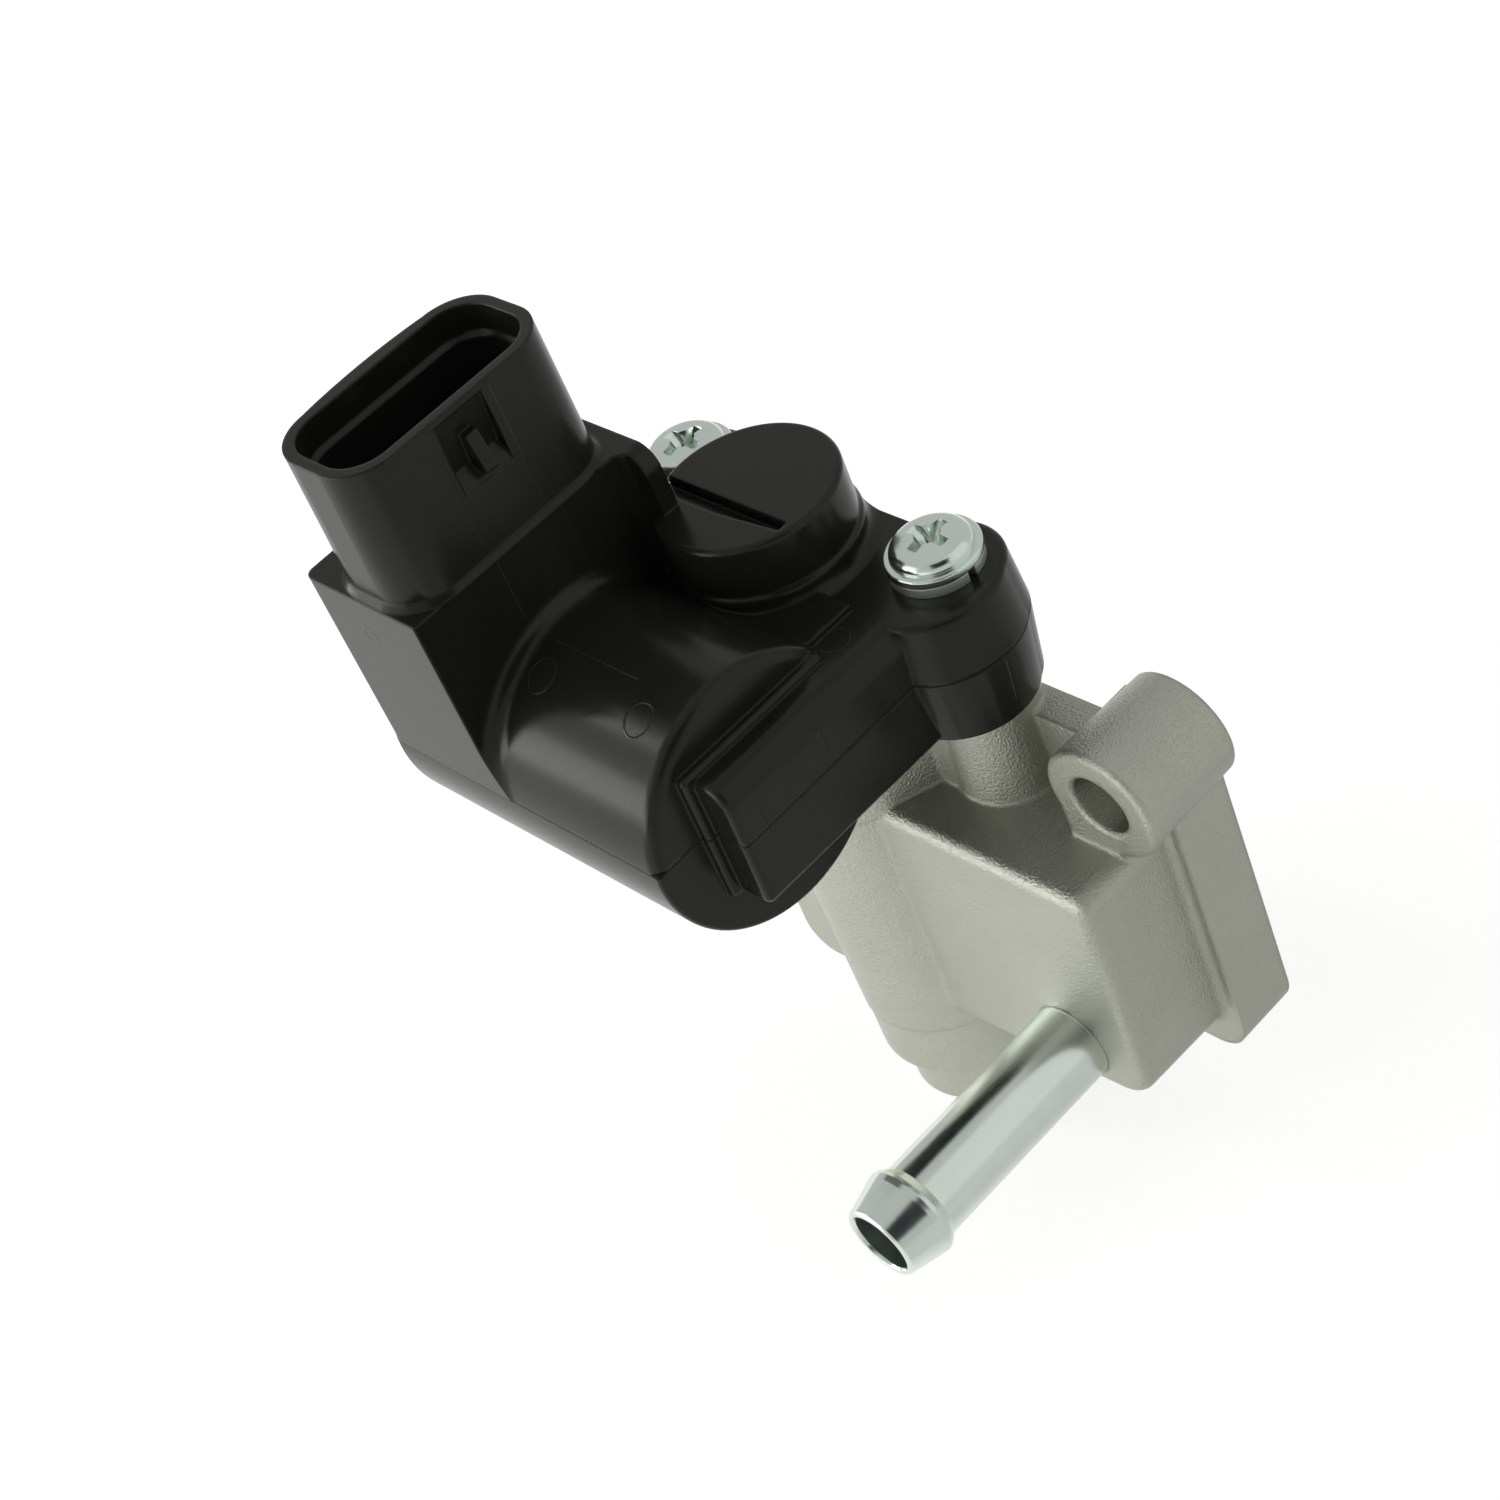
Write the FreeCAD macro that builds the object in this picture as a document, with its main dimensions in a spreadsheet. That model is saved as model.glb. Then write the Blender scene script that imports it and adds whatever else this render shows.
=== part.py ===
import FreeCAD, Part
import math
import os
import Sketcher

# Idle air control valve: a rotary solenoid on a die-cast valve body.
#
# Own frame, in millimetres: the mounting face is the plane y = 0 and the valve
# lies in front of it, at negative y. The valve shaft stands along z at x = 0.
# z = 0 is the height of the middle of the mounting face.
# "depth" in a size's name is a distance in front of the mounting face.

os.makedirs("parts", exist_ok=True)
doc = FreeCAD.newDocument("idle_air_control_valve")
sheet = doc.addObject("Spreadsheet::Sheet", "Sizes")

SIZES = {
    # valve axis and the two case screws
    "valve_depth": 12.75,
    "screw_spacing": 33.2,
    "screw_depth": 7.45,
    # motor case: levels and the horizontal solenoid housing
    "case_bottom": 23.25,
    "case_parting": 30.7,
    "case_top": 37.1,
    "case_back_depth": 4.2,
    "coil_depth": 31.5,
    "coil_height": 29.4,
    "motor_radius": 13.2,
    "motor_right": 14.5,
    "motor_left": 24.1,
    "motor_edge_round": 1.2,
    "motor_lower_round": 0.45,
    "motor_cove": 2.6,
    "cove_bite": 0.03,
    # yoke box beside and behind the solenoid
    "yoke_half_width": 19.15,
    "yoke_front_depth": 38.2,
    "yoke_back_depth": 15.5,
    "yoke_edge_round": 2.4,
    "yoke_front_round": 0.7,
    "yoke_step_out": 0.95,
    "yoke_step_rise": 1.0,
    "yoke_step_lift": 0.7,
    "yoke_step_foot": 0.3,
    "yoke_step_round": 0.5,
    "yoke_step_back_depth": 21.6,
    # screw bosses of the case, drafted both ways from the parting plane
    "boss_foot_radius": 6.0,
    "boss_parting_radius": 6.75,
    "boss_top_radius": 6.2,
    "boss_edge_round": 0.6,
    "boss_bulge": 0.85,
    "boss_bulge_depth": 9.0,
    # connector block and socket shell
    "plug_right": 7.35,
    "plug_front_depth": 44.75,
    "plug_back_depth": 17.4,
    "plug_top": 51.7,
    "plug_cove": 1.8,
    "plug_corner_round": 1.1,
    "gusset_reach": 2.95,
    "gusset_thickness": 1.8,
    "gusset_round": 2.3,
    "gusset_cove": 1.6,
    "shell_offset": 14.3,
    "shell_depth": 31.55,
    "shell_width": 13.55,
    "shell_length": 24.4,
    "shell_corner": 5.1,
    "shell_top": 66.8,
    "shell_wall": 1.17,
    "shell_floor": 52.6,
    "shell_swell": 0.2,
    "shell_flare": 0.6,
    "shell_bulge": 0.45,
    "shell_ledge": 0.45,
    "shell_ledge_top": 63.9,
    "latch_depth": 31.45,
    "latch_width": 1.3,
    "latch_top": 63.5,
    "latch_height": 3.9,
    "latch_rise": 1.0,
    "latch_tip_rise": 0.15,
    "latch_root": 1.2,
    "ramp_depth": 31.6,
    "ramp_width": 5.7,
    "ramp_top": 66.0,
    "ramp_low": 60.3,
    "ramp_bottom": 58.5,
    "ramp_start": 0.5,
    "ramp_sink": 1.15,
    # round cap over the rotor
    "cap_step_radius": 9.4,
    "cap_step_height": 2.5,
    "cap_step_round": 0.9,
    "cap_cove": 1.4,
    "cap_radius": 9.05,
    "cap_height": 7.8,
    "cap_edge_round": 0.5,
    "cap_groove_depth": 14.85,
    "cap_groove_width": 1.95,
    "cap_groove_narrow": 1.1,
    "cap_groove_reach": 7.6,
    "cap_groove_sink": 1.3,
    # solenoid
    "core_radius": 4.0,
    "bobbin_bore_wall": 0.9,
    "bobbin_half_length": 12.6,
    "bobbin_flange": 1.3,
    "bobbin_radius": 10.2,
    "winding_radius": 9.7,
    "part_clearance": 0.04,
    # pole arms
    "arm_thickness": 2.6,
    "arm_inner": 14.6,
    "arm_front_depth": 36.4,
    "arm_bottom": 25.4,
    "arm_height": 9.4,
    "arm_knee_depth": 13.7,
    "arm_leg_width": 4.7,
    "shoe_outer": 10.9,
    "shoe_inner": 4.6,
    "shoe_half_span": 5.5,
    "air_gap": 0.7,
    # rotor
    "shaft_radius": 2.0,
    "shaft_top": 41.6,
    "shaft_end": 31.2,
    "magnet_radius": 5.9,
    "magnet_bottom": 25.2,
    "magnet_height": 9.6,
    "chamber_top": 35.6,
    "running_clearance": 0.03,
    "bush_radius": 4.0,
    "bush_bottom": 36.1,
    "bush_height": 5.0,
    "lower_bearing_radius": 5.5,
    "lower_bearing_height": 4.0,
    # bearing plate between case and body
    "plate_radius": 6.95,
    "plate_thickness": 1.85,
    "spigot_length": 3.9,
    "spigot_groove": 1.25,
    "spigot_groove_height": 1.8,
    "shaft_seal_radius": 4.2,
    "plate_hole_radius": 2.5,
    "plate_lip": 1.25,
    # valve body: vertical barrel
    "bore_radius": 6.5,
    "bore_end": 27.0,
    "barrel_radius": 9.5,
    "barrel_draft": 0.2,
    "barrel_end": 20.7,
    "collar_radius": 9.1,
    "collar_end": 27.9,
    "foot_radius": 7.3,
    "foot_end": 34.4,
    "foot_round": 1.0,
    "neck_radius": 10.6,
    "neck_bottom": 10.9,
    "neck_half_width": 11.9,
    "neck_corner_out": 9.6,
    "neck_corner_depth": 17.2,
    # valve body: block with the air and coolant passages
    "block_left": 15.1,
    "block_right": 34.9,
    "block_front_depth": 18.4,
    "block_top": 11.9,
    "block_end_left": 20.75,
    "block_end_right": 16.5,
    "block_corner": 4.2,
    "block_top_round": 1.8,
    "block_edge_round": 1.3,
    "block_foot_cove": 0.8,
    "barrel_cove": 1.5,
    # valve body: flange and bolt bosses
    "flange_left": 16.6,
    "flange_right": 36.45,
    "flange_thickness": 6.9,
    "flange_top": 20.0,
    "flange_end": 19.9,
    "flange_corner": 4.2,
    "flange_relief": 3.3,
    "flange_relief_end": 14.4,
    "bolt_right_x": 33.2,
    "bolt_right_z": 17.85,
    "bolt_left_x": 23.0,
    "bolt_left_z": 9.3,
    "bolt_boss_radius": 6.2,
    "bolt_boss_draft": 0.3,
    "bolt_boss_depth": 11.8,
    "bolt_boss_round": 0.6,
    "bolt_hole_radius": 3.2,
    "bolt_hole_chamfer": 0.25,
    # valve body: web and columns under the case screws
    "web_depth": 12.3,
    "column_radius": 4.9,
    "column_draft": 0.65,
    "screw_hole_bottom": 12.5,
    "left_column_end": 5.0,
    "case_relief": 0.3,
    # passages
    "inlet_z": 10.5,
    "inlet_radius": 5.0,
    "outlet_x": 19.0,
    "outlet_z": 4.0,
    "outlet_radius": 5.3,
    "window_half_width": 3.9,
    "window_half_height": 5.3,
    "seal_gap": 1.5,
    "seal_width": 1.8,
    "seal_depth": 1.6,
    # hose nipple
    "nipple_x": 25.85,
    "nipple_z": 11.7,
    "nipple_radius": 4.2,
    "nipple_bore": 3.25,
    "nipple_tip_depth": 46.4,
    "nipple_bead_radius": 4.95,
    "nipple_bead_length": 4.3,
    "nipple_bead_back": 1.4,
    "nipple_tip_radius": 3.95,
    "nipple_seat": 8.0,
    # rotary valve
    "drum_radius": 6.2,
    "drum_wall": 1.4,
    "drum_bottom": -3.0,
    "drum_disc_bottom": 11.0,
    "drum_disc_top": 13.0,
    "hub_radius": 3.3,
    "hub_bottom": 2.0,
    "drum_wall_angle": 150.0,
    "drum_wall_start": -4.0,
    "half_travel": 35.0,
    "lug_angle": 20.0,
    "stop_play": 1.5,
    "lug_height": 2.6,
    "lug_inner_radius": 4.3,
    "stop_gap": 0.4,
    # case screws, washers and sleeves
    "screw_radius": 2.5,
    "screw_length": 24.0,
    "screw_tip": 0.8,
    "rim_radius": 4.62,
    "rim_height": 0.95,
    "rim_round": 0.2,
    "dome_radius": 3.95,
    "dome_curve": 11.0,
    "head_height": 2.6,
    "dome_round": 1.1,
    "recess_width": 1.15,
    "recess_reach": 2.4,
    "recess_sink": 2.0,
    "recess_tip": 0.9,
    "recess_core": 1.3,
    "recess_core_tip": 0.5,
    "washer_radius": 4.5,
    "washer_hole": 2.7,
    "washer_height": 1.1,
    "washer_split": 0.9,
    "washer_slant": 0.7,
    "sleeve_radius": 3.6,
    "sleeve_bore": 2.7,
    # how far a cutter reaches past what it cuts
    "over": 1.0,
    # terminal pins
    "pin_pitch": 5.6,
    "pin_width": 2.2,
    "pin_thickness": 0.8,
    "pin_top": 62.0,
    "pin_bottom": 40.2,
}


class Size:
    """A number together with the sheet formula that gives it."""

    def __init__(self, number, text):
        self.number = float(number)
        self.text = text

    @staticmethod
    def of(other):
        if isinstance(other, Size):
            return other
        return Size(other, repr(float(other)))

    def __add__(self, other):
        other = Size.of(other)
        return Size(self.number + other.number, f"({self.text} + {other.text})")

    def __radd__(self, other):
        return Size.of(other) + self

    def __sub__(self, other):
        other = Size.of(other)
        return Size(self.number - other.number, f"({self.text} - {other.text})")

    def __rsub__(self, other):
        return Size.of(other) - self

    def __mul__(self, other):
        other = Size.of(other)
        return Size(self.number * other.number, f"({self.text} * {other.text})")

    def __rmul__(self, other):
        return Size.of(other) * self

    def __truediv__(self, other):
        other = Size.of(other)
        return Size(self.number / other.number, f"({self.text} / {other.text})")

    def __neg__(self):
        return Size(-self.number, f"(0 - {self.text})")

    def root(self):
        return Size(math.sqrt(self.number), f"sqrt({self.text})")


class Sheet:
    """The named sizes, each readable as an attribute."""

    def __init__(self, table):
        for row, (alias, number) in enumerate(table.items(), start=1):
            sheet.set(f"A{row}", alias.replace("_", " "))
            sheet.set(f"B{row}", repr(float(number)))
            sheet.setAlias(f"B{row}", alias)
            setattr(self, alias, Size(number, f"Sizes.{alias}"))


s = Sheet(SIZES)
doc.recompute()
vector = FreeCAD.Vector


def number(value):
    return Size.of(value).number


def tie(item, prop, value):
    """Bind one property to its sheet formula."""
    item.setExpression(prop, Size.of(value).text)


def put(item, x, y, z, axis=None, angle=0.0):
    """Place an item, with its position bound and its turn fixed."""
    if axis is not None:
        item.Placement = FreeCAD.Placement(vector(0, 0, 0), FreeCAD.Rotation(vector(*axis), angle))
    tie(item, "Placement.Base.x", x)
    tie(item, "Placement.Base.y", y)
    tie(item, "Placement.Base.z", z)
    return item


TURNS = {
    "z": (None, 0.0),
    "x": ((0, 1, 0), 90.0),
    "-y": ((1, 0, 0), 90.0),
    "y": ((1, 0, 0), -90.0),
}


def block(name, x, y, z):
    """A box from three pairs of limits."""
    item = doc.addObject("Part::Box", name)
    tie(item, "Length", x[1] - Size.of(x[0]))
    tie(item, "Width", y[1] - Size.of(y[0]))
    tie(item, "Height", z[1] - Size.of(z[0]))
    return put(item, x[0], y[0], z[0])


def rod(name, radius, length, x, y, z, along="z", sweep=None, start=0.0):
    """A cylinder that begins at a point and runs along an axis."""
    item = doc.addObject("Part::Cylinder", name)
    tie(item, "Radius", radius)
    tie(item, "Height", length)
    axis, angle = TURNS[along]
    put(item, x, y, z, axis, angle)
    if sweep is not None:
        tie(item, "Angle", sweep)
        item.Placement = FreeCAD.Placement(item.Placement.Base,
                                           FreeCAD.Rotation(vector(0, 0, 1), number(start)))
        tie(item, "Placement.Rotation.Angle", start)
    return item


def taper(name, first, second, length, x, y, z, along="z"):
    """A cone frustum from the first radius to the second."""
    item = doc.addObject("Part::Cone", name)
    tie(item, "Radius1", first)
    tie(item, "Radius2", second)
    tie(item, "Height", length)
    axis, angle = TURNS[along]
    return put(item, x, y, z, axis, angle)


def join(name, items):
    item = doc.addObject("Part::MultiFuse", name)
    item.Shapes = items
    return item


def cut(name, base, tools):
    tool = tools[0] if len(tools) == 1 else join(name + "_tools", tools)
    item = doc.addObject("Part::Cut", name)
    item.Base = base
    item.Tool = tool
    return item


def overlap(name, items):
    item = doc.addObject("Part::MultiCommon", name)
    item.Shapes = items
    return item


def cove_ring(name, radius, cove, x, y, z, along="z"):
    """The concave fillet between a round wall and the plane it stands on."""
    ring_block = rod(name + "_block", radius + cove, cove, x, y, z, along)
    ring_round = doc.addObject("Part::Torus", name + "_round")
    tie(ring_round, "Radius1", radius + cove)
    tie(ring_round, "Radius2", cove)
    axis, angle = TURNS[along]
    lift = {"x": (cove, 0, 0), "-y": (0, -cove, 0), "z": (0, 0, cove)}[along]
    put(ring_round, *[start + step for start, step in zip((x, y, z), lift)], axis, angle)
    return cut(name, ring_block, [ring_round])


def soften(name, source, radius, choose):
    """Round the edges that the test picks, with a radius from the sheet."""
    doc.recompute()
    item = doc.addObject("Part::Fillet", name)
    item.Base = source
    chosen = [i for i, edge in enumerate(source.Shape.Edges, start=1) if choose(edge)]
    item.Edges = [(i, number(radius), number(radius)) for i in chosen]
    return item


def outline(sketch, points):
    """A closed polygon with every corner dimensioned from the sketch origin."""
    count = len(points)
    corners = [vector(number(x), number(y), 0) for x, y in points]
    for i in range(count):
        sketch.addGeometry(Part.LineSegment(corners[i], corners[(i + 1) % count]), False)
    for i in range(count):
        sketch.addConstraint(Sketcher.Constraint("Coincident", i, 2, (i + 1) % count, 1))
    for i, (x, y) in enumerate(points):
        for kind, value in (("DistanceX", x), ("DistanceY", y)):
            index = sketch.addConstraint(Sketcher.Constraint(kind, -1, 1, i, 1, number(value)))
            if isinstance(value, Size):
                tie(sketch, f"Constraints[{index}]", value)


def rounded_outline(sketch, x, y, corner):
    """A rectangle with four equal round corners, from two pairs of limits."""
    x0, x1 = number(x[0]), number(x[1])
    y0, y1 = number(y[0]), number(y[1])
    r = number(corner)
    ends = [
        ((x0 + r, y0), (x1 - r, y0), (x1 - r, y0 + r)),
        ((x1, y0 + r), (x1, y1 - r), (x1 - r, y1 - r)),
        ((x1 - r, y1), (x0 + r, y1), (x0 + r, y1 - r)),
        ((x0, y1 - r), (x0, y0 + r), (x0 + r, y0 + r)),
    ]
    quarter = math.pi / 2
    for corner_index, (first, second, centre) in enumerate(ends):
        sketch.addGeometry(Part.LineSegment(vector(*first, 0), vector(*second, 0)), False)
        circle = Part.Circle(vector(*centre, 0), vector(0, 0, 1), r)
        start = (corner_index - 1) * quarter
        sketch.addGeometry(Part.ArcOfCircle(circle, start, start + quarter), False)
    for i in range(4):
        line, arc, following = 2 * i, 2 * i + 1, (2 * i + 2) % 8
        sketch.addConstraint(Sketcher.Constraint("Tangent", line, 2, arc, 1))
        sketch.addConstraint(Sketcher.Constraint("Tangent", arc, 2, following, 1))
        if i > 0:
            sketch.addConstraint(Sketcher.Constraint("Equal", 1, arc))
    for line, kind in ((0, "Horizontal"), (4, "Horizontal"), (2, "Vertical"), (6, "Vertical")):
        sketch.addConstraint(Sketcher.Constraint(kind, line))
    limits = (("DistanceY", 0, y[0]), ("DistanceX", 2, x[1]), ("DistanceY", 4, y[1]), ("DistanceX", 6, x[0]))
    for kind, line, value in limits:
        index = sketch.addConstraint(Sketcher.Constraint(kind, -1, 1, line, 1, number(value)))
        tie(sketch, f"Constraints[{index}]", value)
    index = sketch.addConstraint(Sketcher.Constraint("Radius", 1, r))
    tie(sketch, f"Constraints[{index}]", corner)


def prism(name, draw, length, base=(0, 0, 0), facing="z", draft=0.0):
    """A sketch pushed out along its normal, with a mould draft in degrees."""
    sketch = doc.addObject("Sketcher::SketchObject", name + "_sketch")
    draw(sketch)
    axis, angle = TURNS[facing]
    put(sketch, *base, axis, angle)
    item = doc.addObject("Part::Extrusion", name)
    item.Base = sketch
    item.DirMode = "Normal"
    item.Solid = True
    item.TaperAngle = draft
    tie(item, "LengthFwd", length)
    return item


def new_body(name):
    body = doc.addObject("PartDesign::Body", name)
    body.Label = name
    return body


def plane_sketch(body, role, name):
    sketch = body.newObject("Sketcher::SketchObject", name)
    plane = [item for item in body.Origin.OriginFeatures if item.Role == role][0]
    sketch.AttachmentSupport = (plane, [""])
    sketch.MapMode = "FlatFace"
    return sketch


def turned(name, points, x=0.0, y=0.0, z=0.0, along="z"):
    """A turned piece: a profile of (radius, height) pairs swept round its axis."""
    body = new_body(name)
    sketch = plane_sketch(body, "XZ_Plane", name + "_profile")
    outline(sketch, points)
    feature = body.newObject("PartDesign::Revolution", name + "_turn")
    feature.Profile = sketch
    feature.ReferenceAxis = (sketch, ["V_Axis"])
    feature.Angle = 360
    sketch.Visibility = False
    axis, angle = TURNS[along]
    put(body, x, y, z, axis, angle)
    return body


def ring(inner, outer, low, high):
    return [(inner, low), (outer, low), (outer, high), (inner, high)]


def padded(name, draw, length, x=0.0, y=0.0, z=0.0):
    """A plate or bar: a sketch on the ground plane padded upwards."""
    body = new_body(name)
    sketch = plane_sketch(body, "XY_Plane", name + "_outline")
    draw(sketch)
    feature = body.newObject("PartDesign::Pad", name + "_pad")
    feature.Profile = sketch
    tie(feature, "Length", length)
    put(body, x, y, z)
    return body


def pocket_from(body, draw, depth, z, name):
    """A pocket that sinks from height z in the body's own frame."""
    sketch = plane_sketch(body, "XY_Plane", name + "_outline")
    draw(sketch)
    tie(sketch, "AttachmentOffset.Base.z", z)
    doc.recompute()
    before = body.Shape.Volume
    feature = body.newObject("PartDesign::Pocket", name)
    feature.Profile = sketch
    tie(feature, "Length", depth)
    doc.recompute()
    if body.Shape.Volume >= before - 1e-6:
        feature.Reversed = True
        doc.recompute()
    return feature


# Shared places
valve_y = -s.valve_depth
coil_y = -s.coil_depth
screw_y = -s.screw_depth
screw_x = s.screw_spacing / 2
flange_front = -s.flange_thickness
gap = s.part_clearance
nipple_z = -s.nipple_z
shell_y = -s.shell_depth
shell_x = -s.shell_offset
chamber_radius = s.magnet_radius + s.air_gap
body_top = s.case_bottom
seat_top = s.case_bottom - s.plate_thickness
plate_end = seat_top - s.spigot_length
washer_top = s.case_top + s.washer_height
cap_top = s.case_top + s.cap_height

# Motor case
# One moulding: solenoid housing, yoke box, screw bosses, rotor cap and socket.


def along_y(edge):
    first, last = edge.Vertexes[0].Point, edge.Vertexes[-1].Point
    return abs(first.x - last.x) < 0.01 and abs(first.z - last.z) < 0.01 and abs(first.y - last.y) > 0.5


def circle_edge(edge):
    return edge.Closed and not edge.Degenerated and edge.Curve.TypeId == "Part::GeomCircle"


housing_length = s.motor_right + s.motor_left
upper_rod = rod("housing_upper_rod", s.motor_radius, housing_length,
                -s.motor_left, coil_y, s.coil_height, "x")
upper_half = soften("housing_upper_left_round", upper_rod, s.motor_lower_round,
                    lambda edge: circle_edge(edge) and edge.Curve.Center.x < 0)
upper_half = soften("housing_upper_right_round", upper_half, s.motor_edge_round,
                    lambda edge: circle_edge(edge) and edge.Curve.Center.x > number(s.motor_right) - 0.01)
lower_rod = rod("housing_lower_rod", s.motor_radius, housing_length,
                -s.motor_left, coil_y, s.coil_height, "x")
lower_half = soften("housing_lower_round", lower_rod, s.motor_lower_round, circle_edge)
lower_half = cut("housing_lower", lower_half, [
    block("above_parting", (-s.motor_left - s.over, s.motor_right + s.over),
          (coil_y - s.motor_radius - s.over, coil_y + s.motor_radius + s.over),
          (s.case_parting, s.coil_height + s.motor_radius + s.over))])

yoke = block("yoke_box", (-s.yoke_half_width, s.yoke_half_width), (-s.yoke_front_depth, -s.yoke_back_depth),
             (s.case_bottom, s.case_top))
yoke = soften("yoke_round", yoke, s.yoke_edge_round,
              lambda edge: along_y(edge) and edge.Vertexes[0].Point.z > number(s.case_top) - 0.1)


def yoke_front_or_foot(edge):
    """The outline of the yoke's front face and the side edges of its underside."""
    points = [vertex.Point for vertex in edge.Vertexes]
    in_front = all(point.y < number(-s.yoke_front_depth) + 0.01 for point in points)
    low = all(point.z < number(s.case_bottom) + 0.01 for point in points)
    return in_front or (low and min(point.y for point in points) < number(-s.yoke_back_depth) - 1)


yoke = soften("yoke_front_edge", yoke, s.yoke_front_round, yoke_front_or_foot)
step_front = -s.yoke_front_depth - s.yoke_step_rise
step_edge = s.motor_right + s.yoke_step_out
step_top = s.case_top + s.yoke_step_lift
yoke_step = block("yoke_step", (-s.yoke_half_width, step_edge), (step_front, -s.yoke_step_back_depth),
                  (s.case_bottom + s.yoke_step_foot, step_top))


def meets_step_corner(edge):
    corner = vector(number(step_edge), number(step_front), number(step_top))
    return any(vertex.Point.distanceToPoint(corner) < 0.01 for vertex in edge.Vertexes)


yoke_step = soften("yoke_step_edges", yoke_step, s.yoke_step_round, meets_step_corner)
crest_back = block("yoke_crest_back", (-s.yoke_half_width, s.motor_right - s.motor_edge_round),
                   (-s.yoke_step_back_depth, -s.yoke_back_depth), (s.case_top - s.over, step_top))

# The concave fillet behind the solenoid. It bites a hair into the crest, so that the two
# surfaces cross in a clean line.
cove_z = step_top + s.motor_cove - s.cove_bite
cove_rise = cove_z - s.coil_height
cove_centre = s.motor_radius + s.motor_cove
cove_run = (cove_centre * cove_centre - cove_rise * cove_rise).root()
share = s.motor_radius / cove_centre
motor_cove = cut("motor_cove", block(
    "motor_cove_block", (-s.plug_right, s.motor_right - s.motor_edge_round),
    (coil_y, coil_y + cove_run), (s.case_parting, s.coil_height + cove_rise * share)), [
    rod("motor_cove_round", s.motor_cove, s.motor_right + s.plug_right + 2 * s.over, -s.plug_right - s.over,
        coil_y + cove_run, cove_z, "x")])
rear = block("rear_mass", (-screw_x, screw_x), (-s.yoke_back_depth, -s.case_back_depth),
             (s.case_bottom, s.case_top))

bosses = []


def highest_circle(level):
    return lambda edge: circle_edge(edge) and edge.Curve.Center.z > number(level) - 0.01


for side, sign in (("left", -1), ("right", 1)):
    for form, grow, depth in (("post", 0, s.screw_depth), ("bulge", s.boss_bulge, s.boss_bulge_depth)):
        bosses.append(taper(f"{form}_low_{side}", s.boss_foot_radius + grow, s.boss_parting_radius + grow,
                            s.case_parting - s.case_bottom, sign * screw_x, -depth, s.case_bottom))
        upper_boss = taper(f"{form}_high_{side}", s.boss_parting_radius + grow, s.boss_top_radius + grow,
                           s.case_top - s.case_parting, sign * screw_x, -depth, s.case_parting)
        bosses.append(soften(f"{form}_round_{side}", upper_boss, s.boss_edge_round,
                             highest_circle(s.case_top)))

cap_step_top = s.case_top + s.cap_step_height
cap_step = rod("cap_step", s.cap_step_radius, cap_step_top - s.case_bottom, 0, valve_y, s.case_bottom)
cap_step = soften("cap_step_edge", cap_step, s.cap_step_round, highest_circle(cap_step_top))
cap = rod("cap", s.cap_radius, s.cap_height, 0, valve_y, s.case_top)
cap = soften("cap_edge", cap, s.cap_edge_round, highest_circle(cap_top))
cap_reach = s.cap_step_radius + s.cap_cove
cap_cove = overlap("cap_cove_on_case", [
    cove_ring("cap_cove", s.cap_step_radius, s.cap_cove, 0, valve_y, s.case_top - s.cove_bite),
    block("cap_cove_limits", (-cap_reach, cap_reach), (valve_y - cap_reach, -s.case_back_depth),
          (s.case_top - s.over, cap_step_top))])

plug_block = block("plug_block", (-s.motor_left, -s.plug_right), (-s.plug_front_depth, -s.plug_back_depth),
                   (s.case_parting, s.plug_top))
plug_block = soften("plug_corner", plug_block, s.plug_corner_round, lambda edge: all(
    vertex.Point.x < number(-s.motor_left) + 0.01 and vertex.Point.y < number(-s.plug_front_depth) + 0.01
    for vertex in edge.Vertexes))
plug_cove = overlap("plug_cove_on_motor", [
    cove_ring("plug_cove", s.motor_radius, s.plug_cove, -s.plug_right, coil_y, s.coil_height, "x"),
    block("plug_cove_limits", (-s.plug_right, -s.plug_right + s.plug_cove),
          (-s.plug_front_depth, -s.plug_back_depth), (s.case_parting, s.plug_top))])

# The gusset stands at the block's back corner, coved into the block and rounded at its top.
gusset_front = -s.plug_back_depth - s.gusset_thickness
gusset_edge = s.gusset_reach - s.plug_right
gusset = block("gusset_wall", (-s.plug_right - s.over, gusset_edge),
               (gusset_front - s.gusset_cove, -s.plug_back_depth), (s.case_parting, s.plug_top))
gusset = soften("gusset_edge", gusset, s.gusset_round,
                lambda edge: along_y(edge) and edge.Vertexes[0].Point.x > number(gusset_edge) - 0.1
                and edge.Vertexes[0].Point.z > number(s.plug_top) - 0.1)
gusset = cut("gusset", gusset, [
    rod("gusset_cove_round", s.gusset_cove, s.plug_top - s.case_parting + 2 * s.over,
        -s.plug_right + s.gusset_cove, gusset_front - s.gusset_cove, s.case_parting - s.over),
    block("gusset_clear", (-s.plug_right + s.gusset_cove, gusset_edge + s.over),
          (gusset_front - s.gusset_cove - s.over, gusset_front),
          (s.case_parting - s.over, s.plug_top + s.over))])


def shell_limits(grow):
    x = (shell_x - s.shell_width / 2 - grow, shell_x + s.shell_width / 2 + grow)
    y = (shell_y - s.shell_length / 2 - grow, shell_y + s.shell_length / 2 + grow)
    return x, y


def draw_shell(sketch):
    rounded_outline(sketch, *shell_limits(s.shell_swell), s.shell_corner)


def draw_flare(sketch):
    rounded_outline(sketch, *shell_limits(s.shell_swell + s.shell_flare), s.shell_corner + s.shell_flare)


def draw_cavity(sketch):
    rounded_outline(sketch, *shell_limits(-s.shell_wall), s.shell_corner - s.shell_wall)


lower_wall = s.shell_wall + s.shell_ledge


def draw_lower_cavity(sketch):
    rounded_outline(sketch, *shell_limits(-lower_wall), s.shell_corner - lower_wall)


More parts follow.
